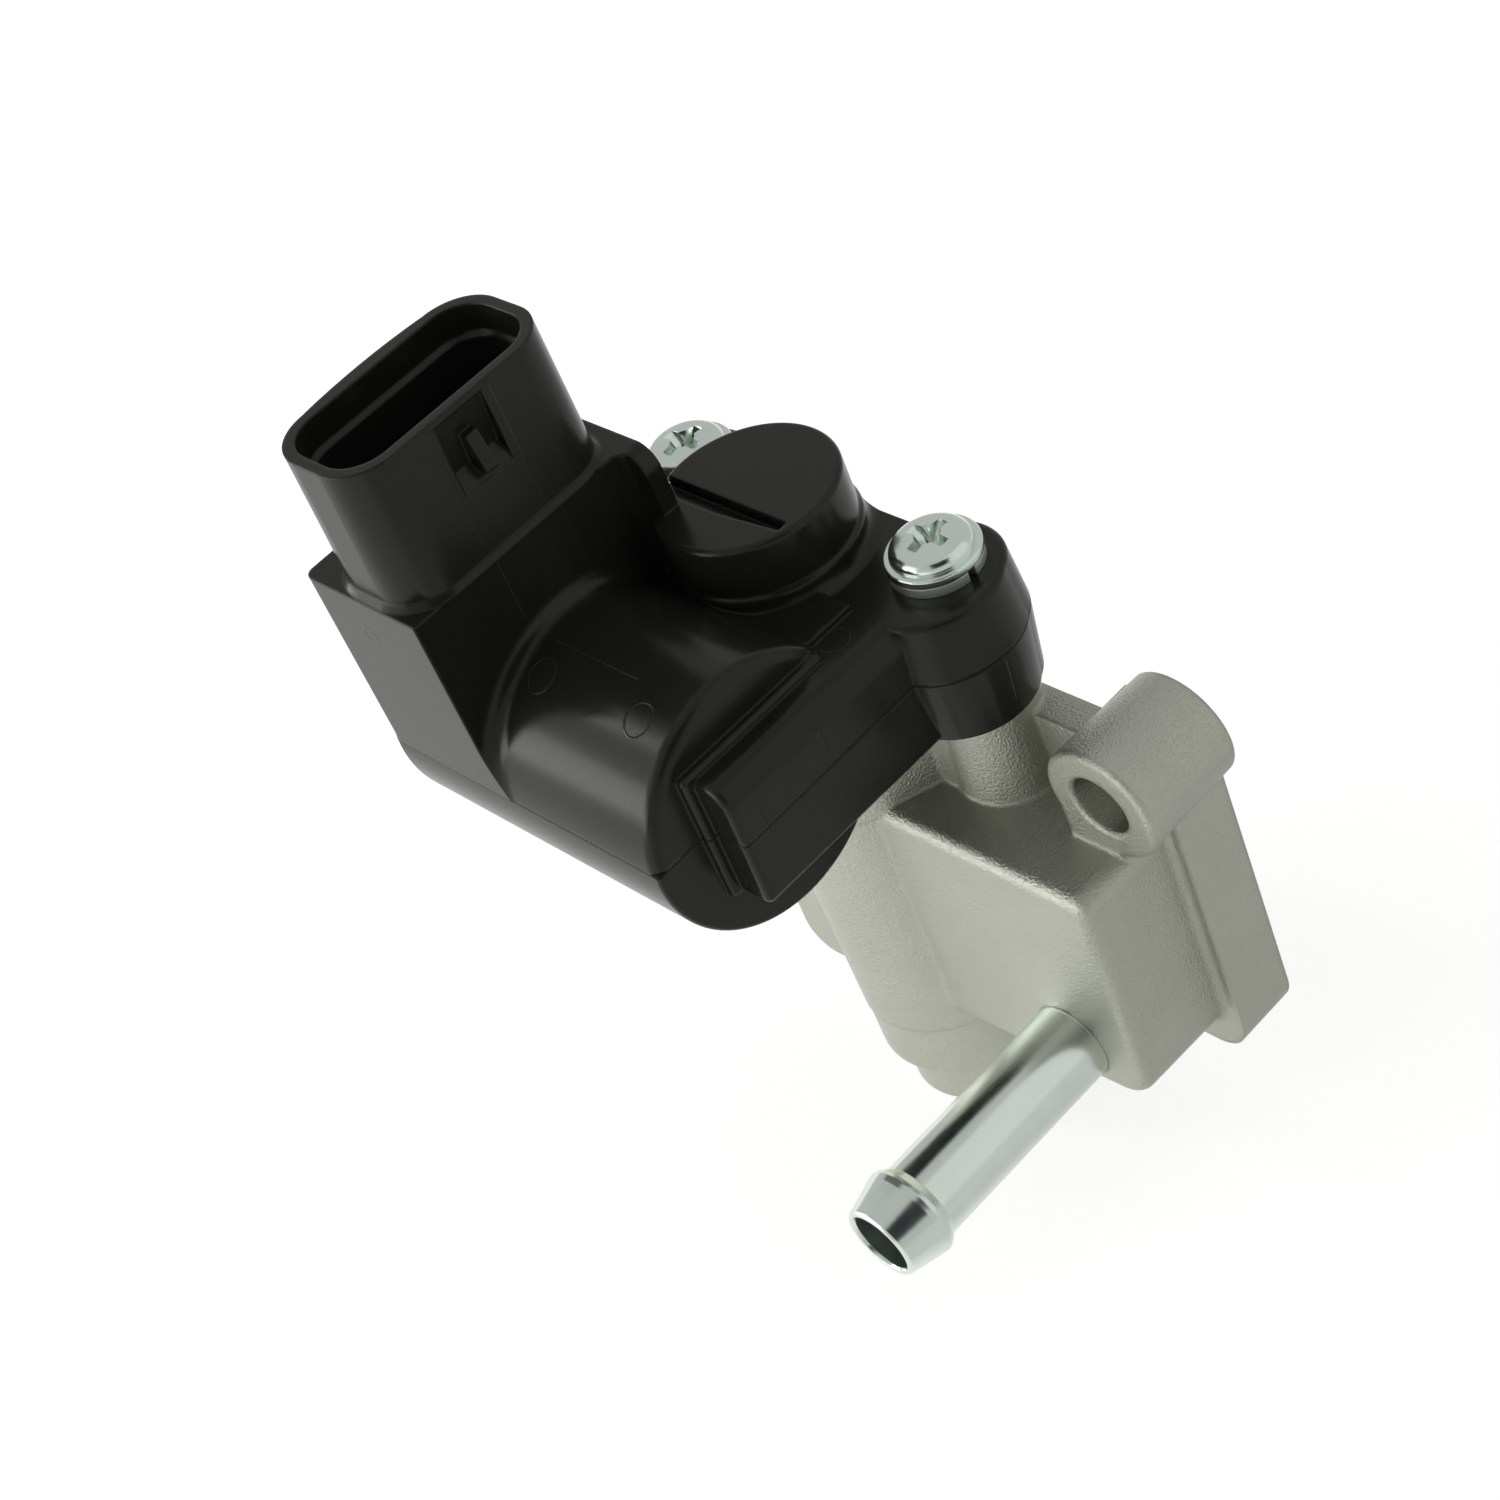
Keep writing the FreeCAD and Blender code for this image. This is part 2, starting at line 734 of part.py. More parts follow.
shell = prism("shell", draw_shell, s.shell_top - s.plug_top, (0, 0, s.plug_top), draft=-0.9)
flare = prism("shell_flare_foot", draw_flare, s.shell_flare, (0, 0, s.plug_top), draft=-42.0)
shell_face = shell_x + s.shell_width / 2
half_flat = s.shell_length / 2 - s.shell_corner
bulge_radius = (half_flat * half_flat + s.shell_bulge * s.shell_bulge) / (2 * s.shell_bulge)
bulge_edge = shell_x - s.shell_width / 2 - s.shell_bulge
shell_back = overlap("shell_back", [
    rod("shell_back_round", bulge_radius, s.shell_top - s.plug_top,
        bulge_edge + bulge_radius, shell_y, s.plug_top),
    block("shell_back_limits", (bulge_edge - s.over, shell_x), (shell_y - half_flat, shell_y + half_flat),
          (s.plug_top, s.shell_top))])
case_solid = join("case_solid", [upper_half, lower_half, motor_cove, yoke, yoke_step, crest_back, rear,
                                 *bosses, cap_step, cap, cap_cove, plug_block, plug_cove, gusset,
                                 shell, flare, shell_back])

# The plug's clip slides down a ramp sunk in the shell and snaps under the latch wedge.
ramp = prism("latch_ramp", lambda sketch: outline(sketch, [
    (shell_face + 2 * s.latch_rise, s.ramp_bottom), (shell_face + 2 * s.latch_rise, s.ramp_top),
    (shell_face - s.ramp_start, s.ramp_top), (shell_face - s.ramp_sink, s.ramp_low),
    (shell_face, s.ramp_bottom),
]), s.ramp_width, (0, -s.ramp_depth + s.ramp_width / 2, 0), "-y")
latch = prism("latch", lambda sketch: outline(sketch, [
    (shell_face - s.latch_root, s.latch_top - s.latch_height),
    (shell_face + s.latch_rise, s.latch_top - s.latch_height),
    (shell_face + s.latch_tip_rise, s.latch_top),
    (shell_face - s.latch_root, s.latch_top),
]), s.latch_width, (0, -s.latch_depth + s.latch_width / 2, 0), "-y")
case_solid = cut("case_with_ramp", case_solid, [ramp])
case_solid = join("case_with_latch", [case_solid, latch])

hollows = [
    rod("coil_room", s.bobbin_radius + gap, 2 * (s.bobbin_half_length + gap),
        -s.bobbin_half_length - gap, coil_y, s.coil_height, "x"),
    rod("core_room", s.core_radius + gap, 2 * s.arm_inner, -s.arm_inner, coil_y, s.coil_height, "x"),
    rod("rotor_room", chamber_radius, s.chamber_top - s.case_bottom, 0, valve_y, s.case_bottom),
    rod("bush_room", s.bush_radius + gap, s.shaft_top + 0.8 - s.case_bottom, 0, valve_y, s.case_bottom),
    prism("socket_room", draw_lower_cavity, s.shell_ledge_top - s.shell_floor, (0, 0, s.shell_floor)),
    prism("socket_ledge", draw_lower_cavity, s.shell_ledge, (0, 0, s.shell_ledge_top - s.shell_ledge),
          draft=45.0),
    prism("socket_mouth", draw_cavity, s.shell_top - s.shell_ledge_top + s.over, (0, 0, s.shell_ledge_top)),
]


def arm_points(sign, grow):
    """Bent pole arm seen from above, from the coil end to the rotor."""
    outer = s.arm_inner + s.arm_thickness + grow
    knee = -s.arm_knee_depth + grow
    leg = -s.arm_knee_depth - s.arm_leg_width - grow
    corners = [
        (s.arm_inner - grow, -s.arm_front_depth - grow), (outer, -s.arm_front_depth - grow), (outer, knee),
        (s.shoe_outer + grow, knee), (s.shoe_outer + grow, valve_y + s.shoe_half_span + grow),
        (s.shoe_inner - grow, valve_y + s.shoe_half_span + grow),
        (s.shoe_inner - grow, valve_y - s.shoe_half_span - grow), (s.arm_inner - grow, leg),
    ]
    return [(sign * x, y) for x, y in corners]


def draw_arm(sign, grow):
    return lambda sketch: outline(sketch, arm_points(sign, grow))


for side, sign in (("left", -1), ("right", 1)):
    hollows.append(prism(f"arm_room_{side}", draw_arm(sign, gap), s.arm_height + 2 * gap,
                         (0, 0, s.arm_bottom - gap)))
    hollows.append(rod(f"sleeve_room_{side}", s.sleeve_radius + gap, s.case_top - s.case_bottom,
                       sign * screw_x, screw_y, s.case_bottom))
pins = (("front", -1), ("middle", 0), ("rear", 1))
for place, step in pins:
    middle = shell_y + step * s.pin_pitch
    hollows.append(block(f"pin_room_{place}",
                         (shell_x - s.pin_thickness / 2 - gap, shell_x + s.pin_thickness / 2 + gap),
                         (middle - s.pin_width / 2 - gap, middle + s.pin_width / 2 + gap),
                         (s.coil_height, s.plug_top + s.over)))
groove = prism("cap_groove", lambda sketch: outline(sketch, [
    (-s.cap_radius - s.over, -s.cap_groove_depth),
    (-s.cap_radius - s.over, -s.cap_groove_depth - s.cap_groove_width),
    (0, -s.cap_groove_depth - s.cap_groove_width),
    (s.cap_groove_reach, -s.cap_groove_depth - s.cap_groove_narrow),
    (s.cap_groove_reach, -s.cap_groove_depth),
]), s.cap_groove_sink + s.over, (0, 0, cap_top - s.cap_groove_sink))
motor_case = cut("motor_case", case_solid, hollows + [groove])

# Valve body
# One die casting: barrel, block, flange, bolt bosses, neck, web and columns.


def draw_block(sketch):
    outline(sketch, [(-s.block_left, -s.block_end_left), (s.block_right, -s.block_end_right),
                     (s.block_right, s.block_top), (-s.block_left, s.block_top)])


BLOCK_DRAFT = 0.8
block_body = prism("block_prism", draw_block, s.block_front_depth, facing="-y", draft=-BLOCK_DRAFT)


def runs_deep(points):
    return abs(points[0].y - points[-1].y) > number(s.flange_thickness)


def block_lower_corner(edge):
    points = [vertex.Point for vertex in edge.Vertexes]
    return runs_deep(points) and points[0].z < number(-s.nipple_z) / 2


def block_top_corner(edge):
    points = [vertex.Point for vertex in edge.Vertexes]
    right = min(point.x for point in points) > number(s.nipple_x)
    return runs_deep(points) and right and points[0].z > number(s.block_top) / 2


def block_front_edge(edge):
    points = [vertex.Point for vertex in edge.Vertexes]
    return all(point.y < number(-s.block_front_depth) + 0.1 for point in points)


block_body = soften("block_corners", block_body, s.block_corner, block_lower_corner)
block_body = soften("block_top_corner", block_body, s.block_top_round, block_top_corner)
block_body = soften("block_front_round", block_body, s.block_edge_round, block_front_edge)

flange = prism("flange_plate", lambda sketch: rounded_outline(
    sketch, (-s.flange_left, s.flange_right), (-s.flange_end, s.flange_top), s.flange_corner),
    s.flange_thickness, facing="-y")



# The cove at the foot of the block's right side, with a quarter ring at each of its corners.
foot_cove = s.block_foot_cove
foot_draft = (s.flange_thickness + foot_cove) * math.tan(math.radians(BLOCK_DRAFT))
foot_wall = s.block_right - foot_draft
block_slope = (s.block_end_left - s.block_end_right) / (s.block_left + s.block_right)
low_x = foot_wall - s.block_corner
low_z = block_slope * (low_x + s.block_left) - s.block_end_left + foot_draft + s.block_corner
high_z = s.block_top - foot_draft - s.block_top_round
cove_front = flange_front - foot_cove
foot_coves = [cut("foot_cove_side", block(
    "foot_cove_block", (foot_wall - foot_cove, foot_wall + foot_cove), (cove_front, flange_front),
    (low_z, high_z)), [
    rod("foot_cove_round", foot_cove, high_z - low_z + 2 * s.over, foot_wall + foot_cove, cove_front,
        low_z - s.over)])]
for name, radius, middle_z, limits in (
        ("low", s.block_corner, low_z, (low_z - s.block_corner - foot_cove, low_z)),
        ("high", s.block_top_round, high_z, (high_z, high_z + s.block_top_round + foot_cove))):
    middle_x = foot_wall - radius
    foot_coves.append(overlap(f"foot_cove_{name}", [
        cove_ring(f"foot_cove_ring_{name}", radius, foot_cove, middle_x, flange_front, middle_z, "-y"),
        block(f"foot_cove_limits_{name}", (middle_x, foot_wall + foot_cove),
              (cove_front, flange_front), limits)]))

barrel = taper("barrel", s.barrel_radius - s.barrel_draft, s.barrel_radius + s.barrel_draft,
               s.barrel_end + s.neck_bottom, 0, valve_y, -s.barrel_end)


# Upright coves where the barrel leaves the block's front face, tangent to both.
barrel_foot_radius = s.barrel_radius - s.barrel_draft
cove_reach = barrel_foot_radius + s.barrel_cove
cove_out = s.block_front_depth + s.barrel_cove - s.valve_depth
cove_side = (cove_reach * cove_reach - cove_out * cove_out).root()
tangent_y = valve_y - cove_out * barrel_foot_radius / cove_reach
barrel_coves = []
for side, sign in (("left", -1), ("right", 1)):
    edge_x = sign * cove_side
    cove_foot = block_slope * (edge_x + s.block_left) - s.block_end_left + s.block_edge_round
    limits = (edge_x, Size.of(0)) if sign < 0 else (Size.of(0), edge_x)
    barrel_coves.append(cut(f"barrel_cove_{side}", block(
        f"barrel_cove_block_{side}", limits, (tangent_y, flange_front), (cove_foot, s.neck_bottom)), [
        rod(f"barrel_cove_round_{side}", s.barrel_cove, s.neck_bottom - cove_foot + 2 * s.over, edge_x,
            -s.block_front_depth - s.barrel_cove, cove_foot - s.over)]))


def lowest_circle(level):
    return lambda edge: circle_edge(edge) and edge.Curve.Center.z < number(level) + 0.1


collar = rod("collar", s.collar_radius, s.collar_end, 0, valve_y, -s.collar_end)
collar = soften("collar_round", collar, s.foot_round, lowest_circle(-s.collar_end))
foot = rod("foot", s.foot_radius, s.foot_end, 0, valve_y, -s.foot_end)
foot = soften("foot_edge_round", foot, s.foot_round, lowest_circle(-s.foot_end))
neck = rod("neck", s.neck_radius, body_top - s.neck_bottom, 0, valve_y, s.neck_bottom)
neck_walls = prism("neck_walls", lambda sketch: outline(sketch, [
    (-s.neck_half_width, flange_front), (-s.neck_half_width, -s.web_depth),
    (-s.neck_corner_out, -s.neck_corner_depth), (s.neck_corner_out, -s.neck_corner_depth),
    (s.neck_half_width, -s.web_depth), (s.neck_half_width, flange_front),
]), body_top - s.neck_bottom, (0, 0, s.neck_bottom))
web = block("web", (-screw_x, screw_x), (-s.web_depth, flange_front + 2 * s.over), (s.neck_bottom, body_top))
columns = []
for side, sign in (("left", -1), ("right", 1)):
    columns.append(taper(f"column_{side}", s.column_radius + s.column_draft, s.column_radius,
                         body_top - s.neck_bottom, sign * screw_x, screw_y, s.neck_bottom))
columns.append(rod("column_root_left", s.column_radius + s.column_draft, s.neck_bottom + s.left_column_end,
                   -screw_x, screw_y, -s.left_column_end))


def front_circle(edge):
    return circle_edge(edge) and edge.Curve.Center.y < number(-s.bolt_boss_depth) + 0.01


bolts = (("right", s.bolt_right_x, s.bolt_right_z), ("left", -s.bolt_left_x, -s.bolt_left_z))
bolt_bosses = []
for side, x, z in bolts:
    bolt_boss = taper(f"bolt_boss_{side}", s.bolt_boss_radius - s.bolt_boss_draft,
                      s.bolt_boss_radius, s.bolt_boss_depth, x, 0, z, "-y")
    bolt_bosses.append(soften(f"bolt_boss_round_{side}", bolt_boss, s.bolt_boss_round, front_circle))
skirt = block("bolt_boss_skirt", (s.bolt_right_x - s.bolt_boss_radius + 0.9, s.block_right - 0.4),
              (-s.bolt_boss_depth, flange_front), (s.block_top - s.over, s.bolt_right_z))
wing = block("bolt_wing", (-s.bolt_left_x, -s.flange_left + s.flange_corner),
             (flange_front, 0), (-s.bolt_left_z - s.bolt_boss_radius + s.bolt_boss_draft,
                                 -s.bolt_left_z + s.bolt_boss_radius - s.bolt_boss_draft))
body_solid = join("body_solid", [block_body, flange, *foot_coves, barrel, *barrel_coves, collar, foot,
                                 neck, neck_walls, web, *columns, *bolt_bosses, skirt, wing])

ducts = [
    rod("valve_bore", s.bore_radius, seat_top + s.bore_end + s.over, 0, valve_y, -s.bore_end),
    rod("lower_seat", s.lower_bearing_radius + gap, s.lower_bearing_height + gap, 0, valve_y,
        -s.bore_end - s.lower_bearing_height - gap),
    rod("shaft_relief", s.shaft_radius + 1.2, 2.0, 0, valve_y, -s.bore_end - s.lower_bearing_height - 1.2),
    rod("plate_seat", s.plate_radius + gap, s.plate_thickness + s.over, 0, valve_y, seat_top),
    rod("inlet", s.inlet_radius, s.valve_depth + s.over, 0, valve_y, -s.inlet_z, "y"),
    rod("outlet", s.outlet_radius, s.valve_depth - s.window_half_width + 2 * s.over, s.outlet_x,
        valve_y + s.window_half_width - s.over, s.outlet_z, "y"),
    block("window", (s.bore_radius / 2, s.outlet_x + s.outlet_radius),
          (valve_y - s.window_half_width, valve_y + s.window_half_width),
          (s.outlet_z - s.window_half_height, s.outlet_z + s.window_half_height)),
    rod("coolant", s.nipple_bore, s.block_front_depth + s.over, s.nipple_x, -s.block_front_depth,
        nipple_z, "y"),
    rod("nipple_hole", s.nipple_radius + gap, s.nipple_seat + s.over, s.nipple_x,
        -s.block_front_depth - s.over, nipple_z, "y"),
    rod("case_scallop", s.motor_radius + s.case_relief, s.motor_right + s.motor_left + 2 * s.over,
        -s.motor_left - s.over, coil_y, s.coil_height, "x"),
    block("flange_top_relief", (-s.flange_left, s.bolt_right_x - s.bolt_boss_radius),
          (-s.flange_relief, s.over), (s.flange_relief_end, s.bolt_right_z + s.bolt_boss_radius)),
]
for side, sign in (("left", -1), ("right", 1)):
    ducts.append(rod(f"screw_hole_{side}", s.screw_radius + gap, body_top - s.screw_hole_bottom + s.over,
                     sign * screw_x, screw_y, s.screw_hole_bottom))
for side, x, z in bolts:
    ducts.append(rod(f"bolt_hole_{side}", s.bolt_hole_radius, s.bolt_boss_depth + 2 * s.over,
                     x, s.over, z, "-y"))
    chamfer = 2 * s.bolt_hole_chamfer
    ducts.append(taper(f"bolt_chamfer_{side}", s.bolt_hole_radius, s.bolt_hole_radius + chamfer,
                       chamfer, x, -s.bolt_boss_depth + s.bolt_hole_chamfer, z, "-y"))
seals = (("inlet", 0.0, -s.inlet_z, s.inlet_radius), ("outlet", s.outlet_x, s.outlet_z, s.outlet_radius),
         ("coolant", s.nipple_x, nipple_z, s.nipple_bore))
for name, x, z, radius in seals:
    outer = rod(f"{name}_groove_outer", radius + s.seal_gap + s.seal_width, s.seal_depth + s.over,
                x, s.over, z, "-y")
    inner = rod(f"{name}_groove_inner", radius + s.seal_gap, s.seal_depth + 3 * s.over,
                x, 2 * s.over, z, "-y")
    ducts.append(cut(f"{name}_groove", outer, [inner]))
body_cut = cut("body_cut", body_solid, ducts)

# The stop is a short sector on the bore wall, between the two lugs of the rotary valve.
lug_low = s.drum_disc_top + s.stop_gap
stop_outer = rod("stop_outer", s.bore_radius + 0.5, s.lug_height, 0, valve_y, lug_low,
                 sweep=s.lug_angle, start=180 - s.lug_angle / 2)
stop_inner = rod("stop_inner", s.lug_inner_radius, s.lug_height, 0, valve_y, lug_low)
stop = cut("stop", stop_outer, [stop_inner])
valve_body = join("valve_body", [body_cut, stop])

# Solenoid
core = turned("coil_core", ring(0, s.core_radius, -s.arm_inner + gap, s.arm_inner - gap),
              0, coil_y, s.coil_height, "x")
bore = s.core_radius + gap
tube = bore + s.bobbin_bore_wall
half = s.bobbin_half_length
lip = s.bobbin_flange
bobbin = turned("coil_bobbin", [
    (bore, -half), (s.bobbin_radius, -half), (s.bobbin_radius, -half + lip), (tube, -half + lip),
    (tube, -lip / 2), (s.bobbin_radius, -lip / 2), (s.bobbin_radius, lip / 2), (tube, lip / 2),
    (tube, half - lip), (s.bobbin_radius, half - lip), (s.bobbin_radius, half), (bore, half),
], 0, coil_y, s.coil_height, "x")
winding_low = lip / 2 + gap
winding_high = half - lip - gap
winding_close = turned("coil_winding_close", ring(tube + gap, s.winding_radius, -winding_high, -winding_low),
                       0, coil_y, s.coil_height, "x")
winding_open = turned("coil_winding_open", ring(tube + gap, s.winding_radius, winding_low, winding_high),
                      0, coil_y, s.coil_height, "x")

arms = []
for side, sign in (("left", -1), ("right", 1)):
    arm = padded(f"pole_arm_{side}", draw_arm(sign, 0), s.arm_height, 0, 0, s.arm_bottom)

    def draw_pole_face(sketch):
        index = sketch.addGeometry(Part.Circle(vector(0, number(valve_y), 0), vector(0, 0, 1),
                                               number(chamber_radius)), False)
        place = sketch.addConstraint(Sketcher.Constraint("DistanceY", -1, 1, index, 3, number(valve_y)))
        tie(sketch, f"Constraints[{place}]", valve_y)
        sketch.addConstraint(Sketcher.Constraint("DistanceX", -1, 1, index, 3, 0.0))
        size = sketch.addConstraint(Sketcher.Constraint("Radius", index, number(chamber_radius)))
        tie(sketch, f"Constraints[{size}]", chamber_radius)

    pocket_from(arm, draw_pole_face, s.arm_height, s.arm_height, f"pole_face_{side}")
    arms.append(arm)

# Rotor
shaft = turned("rotor_shaft", [
    (0, -s.shaft_end), (s.shaft_radius, -s.shaft_end), (s.shaft_radius, s.shaft_top), (0, s.shaft_top),
], 0, valve_y, 0)
magnet = turned("rotor_magnet", ring(s.shaft_radius + 0.01, s.magnet_radius, s.magnet_bottom,
                                     s.magnet_bottom + s.magnet_height), 0, valve_y, 0)

disc = rod("drum_disc", s.drum_radius, s.drum_disc_top - s.drum_disc_bottom, 0, valve_y, s.drum_disc_bottom)
hub = rod("drum_hub", s.hub_radius, s.drum_disc_top - s.hub_bottom, 0, valve_y, s.hub_bottom)
wall_outer = rod("drum_wall_outer", s.drum_radius, s.drum_disc_bottom - s.drum_bottom + 0.5, 0, valve_y,
                 s.drum_bottom, sweep=s.drum_wall_angle, start=s.drum_wall_start)
wall_inner = rod("drum_wall_inner", s.drum_radius - s.drum_wall, s.drum_disc_bottom - s.drum_bottom + 0.5,
                 0, valve_y, s.drum_bottom)
wall = cut("drum_sector", wall_outer, [wall_inner])
lugs = []
for side, sign in (("first", -1), ("second", 1)):
    middle = 180 + sign * (s.half_travel + s.lug_angle + s.stop_play)
    outer = rod(f"lug_outer_{side}", s.drum_radius - 0.1, s.lug_height, 0, valve_y, s.drum_disc_top - 0.2,
                sweep=s.lug_angle, start=middle - s.lug_angle / 2)
    inner = rod(f"lug_inner_{side}", s.lug_inner_radius, s.lug_height, 0, valve_y, s.drum_disc_top - 0.2)
    lugs.append(cut(f"lug_{side}", outer, [inner]))
drum = join("drum", [disc, hub, wall, *lugs])
drum_bore = rod("drum_bore", s.shaft_radius + 0.01, s.drum_disc_top - s.hub_bottom + 2 * s.over,
                0, valve_y, s.hub_bottom - s.over)
rotary_valve = cut("rotary_valve", drum, [drum_bore])

# Bearings and seals
fit = s.shaft_radius + s.running_clearance
upper = turned("upper_bearing", ring(fit, s.bush_radius, s.bush_bottom, s.bush_bottom + s.bush_height),
               0, valve_y, 0)
race = (s.lower_bearing_radius - fit) * 0.3
low = -s.bore_end - s.lower_bearing_height
lower = turned("lower_bearing", [
    (fit, low), (fit + race, low), (fit + race, low + 0.4), (s.lower_bearing_radius - race, low + 0.4),
    (s.lower_bearing_radius - race, low), (s.lower_bearing_radius, low),
    (s.lower_bearing_radius, -s.bore_end), (s.lower_bearing_radius - race, -s.bore_end),
    (s.lower_bearing_radius - race, -s.bore_end - 0.4), (fit + race, -s.bore_end - 0.4),
    (fit + race, -s.bore_end), (fit, -s.bore_end),
], 0, valve_y, 0)
spigot = s.bore_radius - gap
groove_low = plate_end + (s.spigot_length - s.spigot_groove_height) / 2
plate = turned("bearing_plate", [
    (s.plate_hole_radius, body_top - s.plate_lip), (s.plate_hole_radius, body_top),
    (s.plate_radius, body_top), (s.plate_radius, seat_top), (spigot, seat_top),
    (spigot, groove_low + s.spigot_groove_height),
    (spigot - s.spigot_groove, groove_low + s.spigot_groove_height),
    (spigot - s.spigot_groove, groove_low), (spigot, groove_low), (spigot, plate_end),
    (s.shaft_seal_radius + gap, plate_end), (s.shaft_seal_radius + gap, body_top - s.plate_lip),
], 0, valve_y, 0)
plate_ring = turned("plate_seal", ring(spigot - s.spigot_groove + gap, s.bore_radius - 0.01,
                                       groove_low + gap, groove_low + s.spigot_groove_height - gap),
                    0, valve_y, 0)
shaft_seal = turned("shaft_seal", ring(fit, s.shaft_seal_radius, plate_end + 0.3,
                                       body_top - s.plate_lip - gap), 0, valve_y, 0)
face_seals = []
for name, x, z, radius in seals:
    face_seals.append(turned(f"{name}_seal", ring(radius + s.seal_gap + gap,
                                                  radius + s.seal_gap + s.seal_width - gap,
                                                  0.1, s.seal_depth - gap), x, 0, z, "-y"))

# Hose nipple
tip = s.nipple_tip_depth
bead = tip - s.nipple_bead_length
nipple = turned("hose_nipple", [
    (s.nipple_bore, s.block_front_depth - s.nipple_seat),
    (s.nipple_radius, s.block_front_depth - s.nipple_seat),
    (s.nipple_radius, bead - s.nipple_bead_back), (s.nipple_bead_radius - 0.15, bead - 0.55),
    (s.nipple_bead_radius, bead - 0.1), (s.nipple_bead_radius - 0.1, bead + 0.5),
    (s.nipple_tip_radius, tip - 0.2), (s.nipple_tip_radius - 0.2, tip), (s.nipple_bore + 0.15, tip),
    (s.nipple_bore, tip - 0.3),
], s.nipple_x, 0, nipple_z, "-y")

# Screws, washers and sleeves
screws = []
washers = []
sleeves = []
head_top = washer_top + s.head_height
for side, sign in (("left", -1), ("right", 1)):
    x = sign * screw_x
    shank = rod(f"shank_{side}", s.screw_radius, s.screw_length - s.screw_tip, x, screw_y,
                washer_top - s.screw_length + s.screw_tip)
    tip = taper(f"tip_{side}", s.screw_radius - s.screw_tip, s.screw_radius, s.screw_tip, x, screw_y,
                washer_top - s.screw_length)
    rim = rod(f"rim_{side}", s.rim_radius, s.rim_height, x, screw_y, washer_top)
    rim = soften(f"rim_edges_{side}", rim, s.rim_round, circle_edge)
    dome_ball = doc.addObject("Part::Sphere", f"dome_ball_{side}")
    tie(dome_ball, "Radius", s.dome_curve)
    put(dome_ball, x, screw_y, head_top - s.dome_curve)
    dome_rod = rod(f"dome_rod_{side}", s.dome_radius, s.head_height, x, screw_y, washer_top)
    dome = overlap(f"dome_{side}", [dome_rod, dome_ball])
    dome = soften(f"dome_edge_{side}", dome, s.dome_round, highest_circle(washer_top + s.rim_height))

    # The cross recess narrows downwards: two slots inside a cone, and a core cone in the middle.
    recess_bottom = head_top - s.recess_sink
    slots = []
    for name, reach_x, reach_y in (("slot", s.recess_reach, s.recess_width / 2),
                                   ("cross_slot", s.recess_width / 2, s.recess_reach)):
        slots.append(block(f"{name}_{side}", (x - reach_x, x + reach_x),
                           (screw_y - reach_y, screw_y + reach_y), (recess_bottom, head_top)))
    cross = overlap(f"recess_cross_{side}", [
        join(f"recess_slots_{side}", slots),
        taper(f"recess_cone_{side}", s.recess_tip, s.recess_reach, s.recess_sink, x, screw_y, recess_bottom)])
    core_cone = taper(f"recess_core_{side}", s.recess_core_tip, s.recess_core, s.recess_sink,
                      x, screw_y, recess_bottom)
    screws.append(cut(f"case_screw_{side}", join(f"screw_solid_{side}", [shank, tip, rim, dome]),
                      [cross, core_cone]))

    washer = turned(f"spring_washer_{side}", ring(s.washer_hole, s.washer_radius, gap, s.washer_height - gap),
                    x, screw_y, s.case_top)
    pocket_from(washer, lambda sketch: outline(sketch, [
        (s.washer_hole - s.over, -s.washer_split),
        (s.washer_radius + s.over, -s.washer_split + s.washer_slant),
        (s.washer_radius + s.over, s.washer_slant), (s.washer_hole - s.over, 0)]),
        s.washer_height, s.washer_height, f"split_{side}")
    washers.append(washer)
    sleeve_profile = ring(s.sleeve_bore, s.sleeve_radius, 0, s.case_top - s.case_bottom)
    sleeves.append(turned(f"screw_sleeve_{side}", sleeve_profile, x, screw_y, s.case_bottom))

# Terminal pins
terminals = []
for place, step in pins:
    terminals.append(padded(f"terminal_pin_{place}", lambda sketch: outline(sketch, [
        (-s.pin_thickness / 2, -s.pin_width / 2), (s.pin_thickness / 2, -s.pin_width / 2),
        (s.pin_thickness / 2, s.pin_width / 2), (-s.pin_thickness / 2, s.pin_width / 2)]),
        s.pin_top - s.pin_bottom, shell_x, shell_y + step * s.pin_pitch, s.pin_bottom))

pieces = [motor_case, valve_body, core, bobbin, winding_close, winding_open, *arms, shaft, magnet,
          rotary_valve, upper, lower, plate, plate_ring, shaft_seal, *face_seals, nipple,
          *screws, *washers, *sleeves, *terminals]

doc.recompute()
for item in doc.Objects:
    if "Invalid" in item.State or "Error" in item.State:
        raise RuntimeError(f"{item.Name} did not build: {item.State}")
for piece in pieces:
    if piece.Shape.isNull() or not piece.Shape.isValid() or not piece.Shape.Solids:
        raise RuntimeError(f"{piece.Name} has no valid solid")
for piece in pieces:
    piece.Label = piece.Name
    piece.Shape.exportStep(f"parts/{piece.Name}.step")
    box = piece.Shape.BoundBox
    print(f"{piece.Name:22s} {len(piece.Shape.Solids)} solid {piece.Shape.Volume:10.1f} mm3 "
          f"x {box.XMin:6.1f} {box.XMax:6.1f} y {box.YMin:6.1f} {box.YMax:6.1f} "
          f"z {box.ZMin:6.1f} {box.ZMax:6.1f}")
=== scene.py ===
# %% [markdown]
# An idle air control valve is a small solenoid valve that feeds an engine with air at idle.
# Its measured model, with every piece in its place, comes from the CAD, so nothing is moved here.
# This file gives the model what CAD leaves out: finishes, light, a floor and a camera.

# %% Load the measured model
import math
import bmesh
import bpy
from mathutils import Matrix, Vector


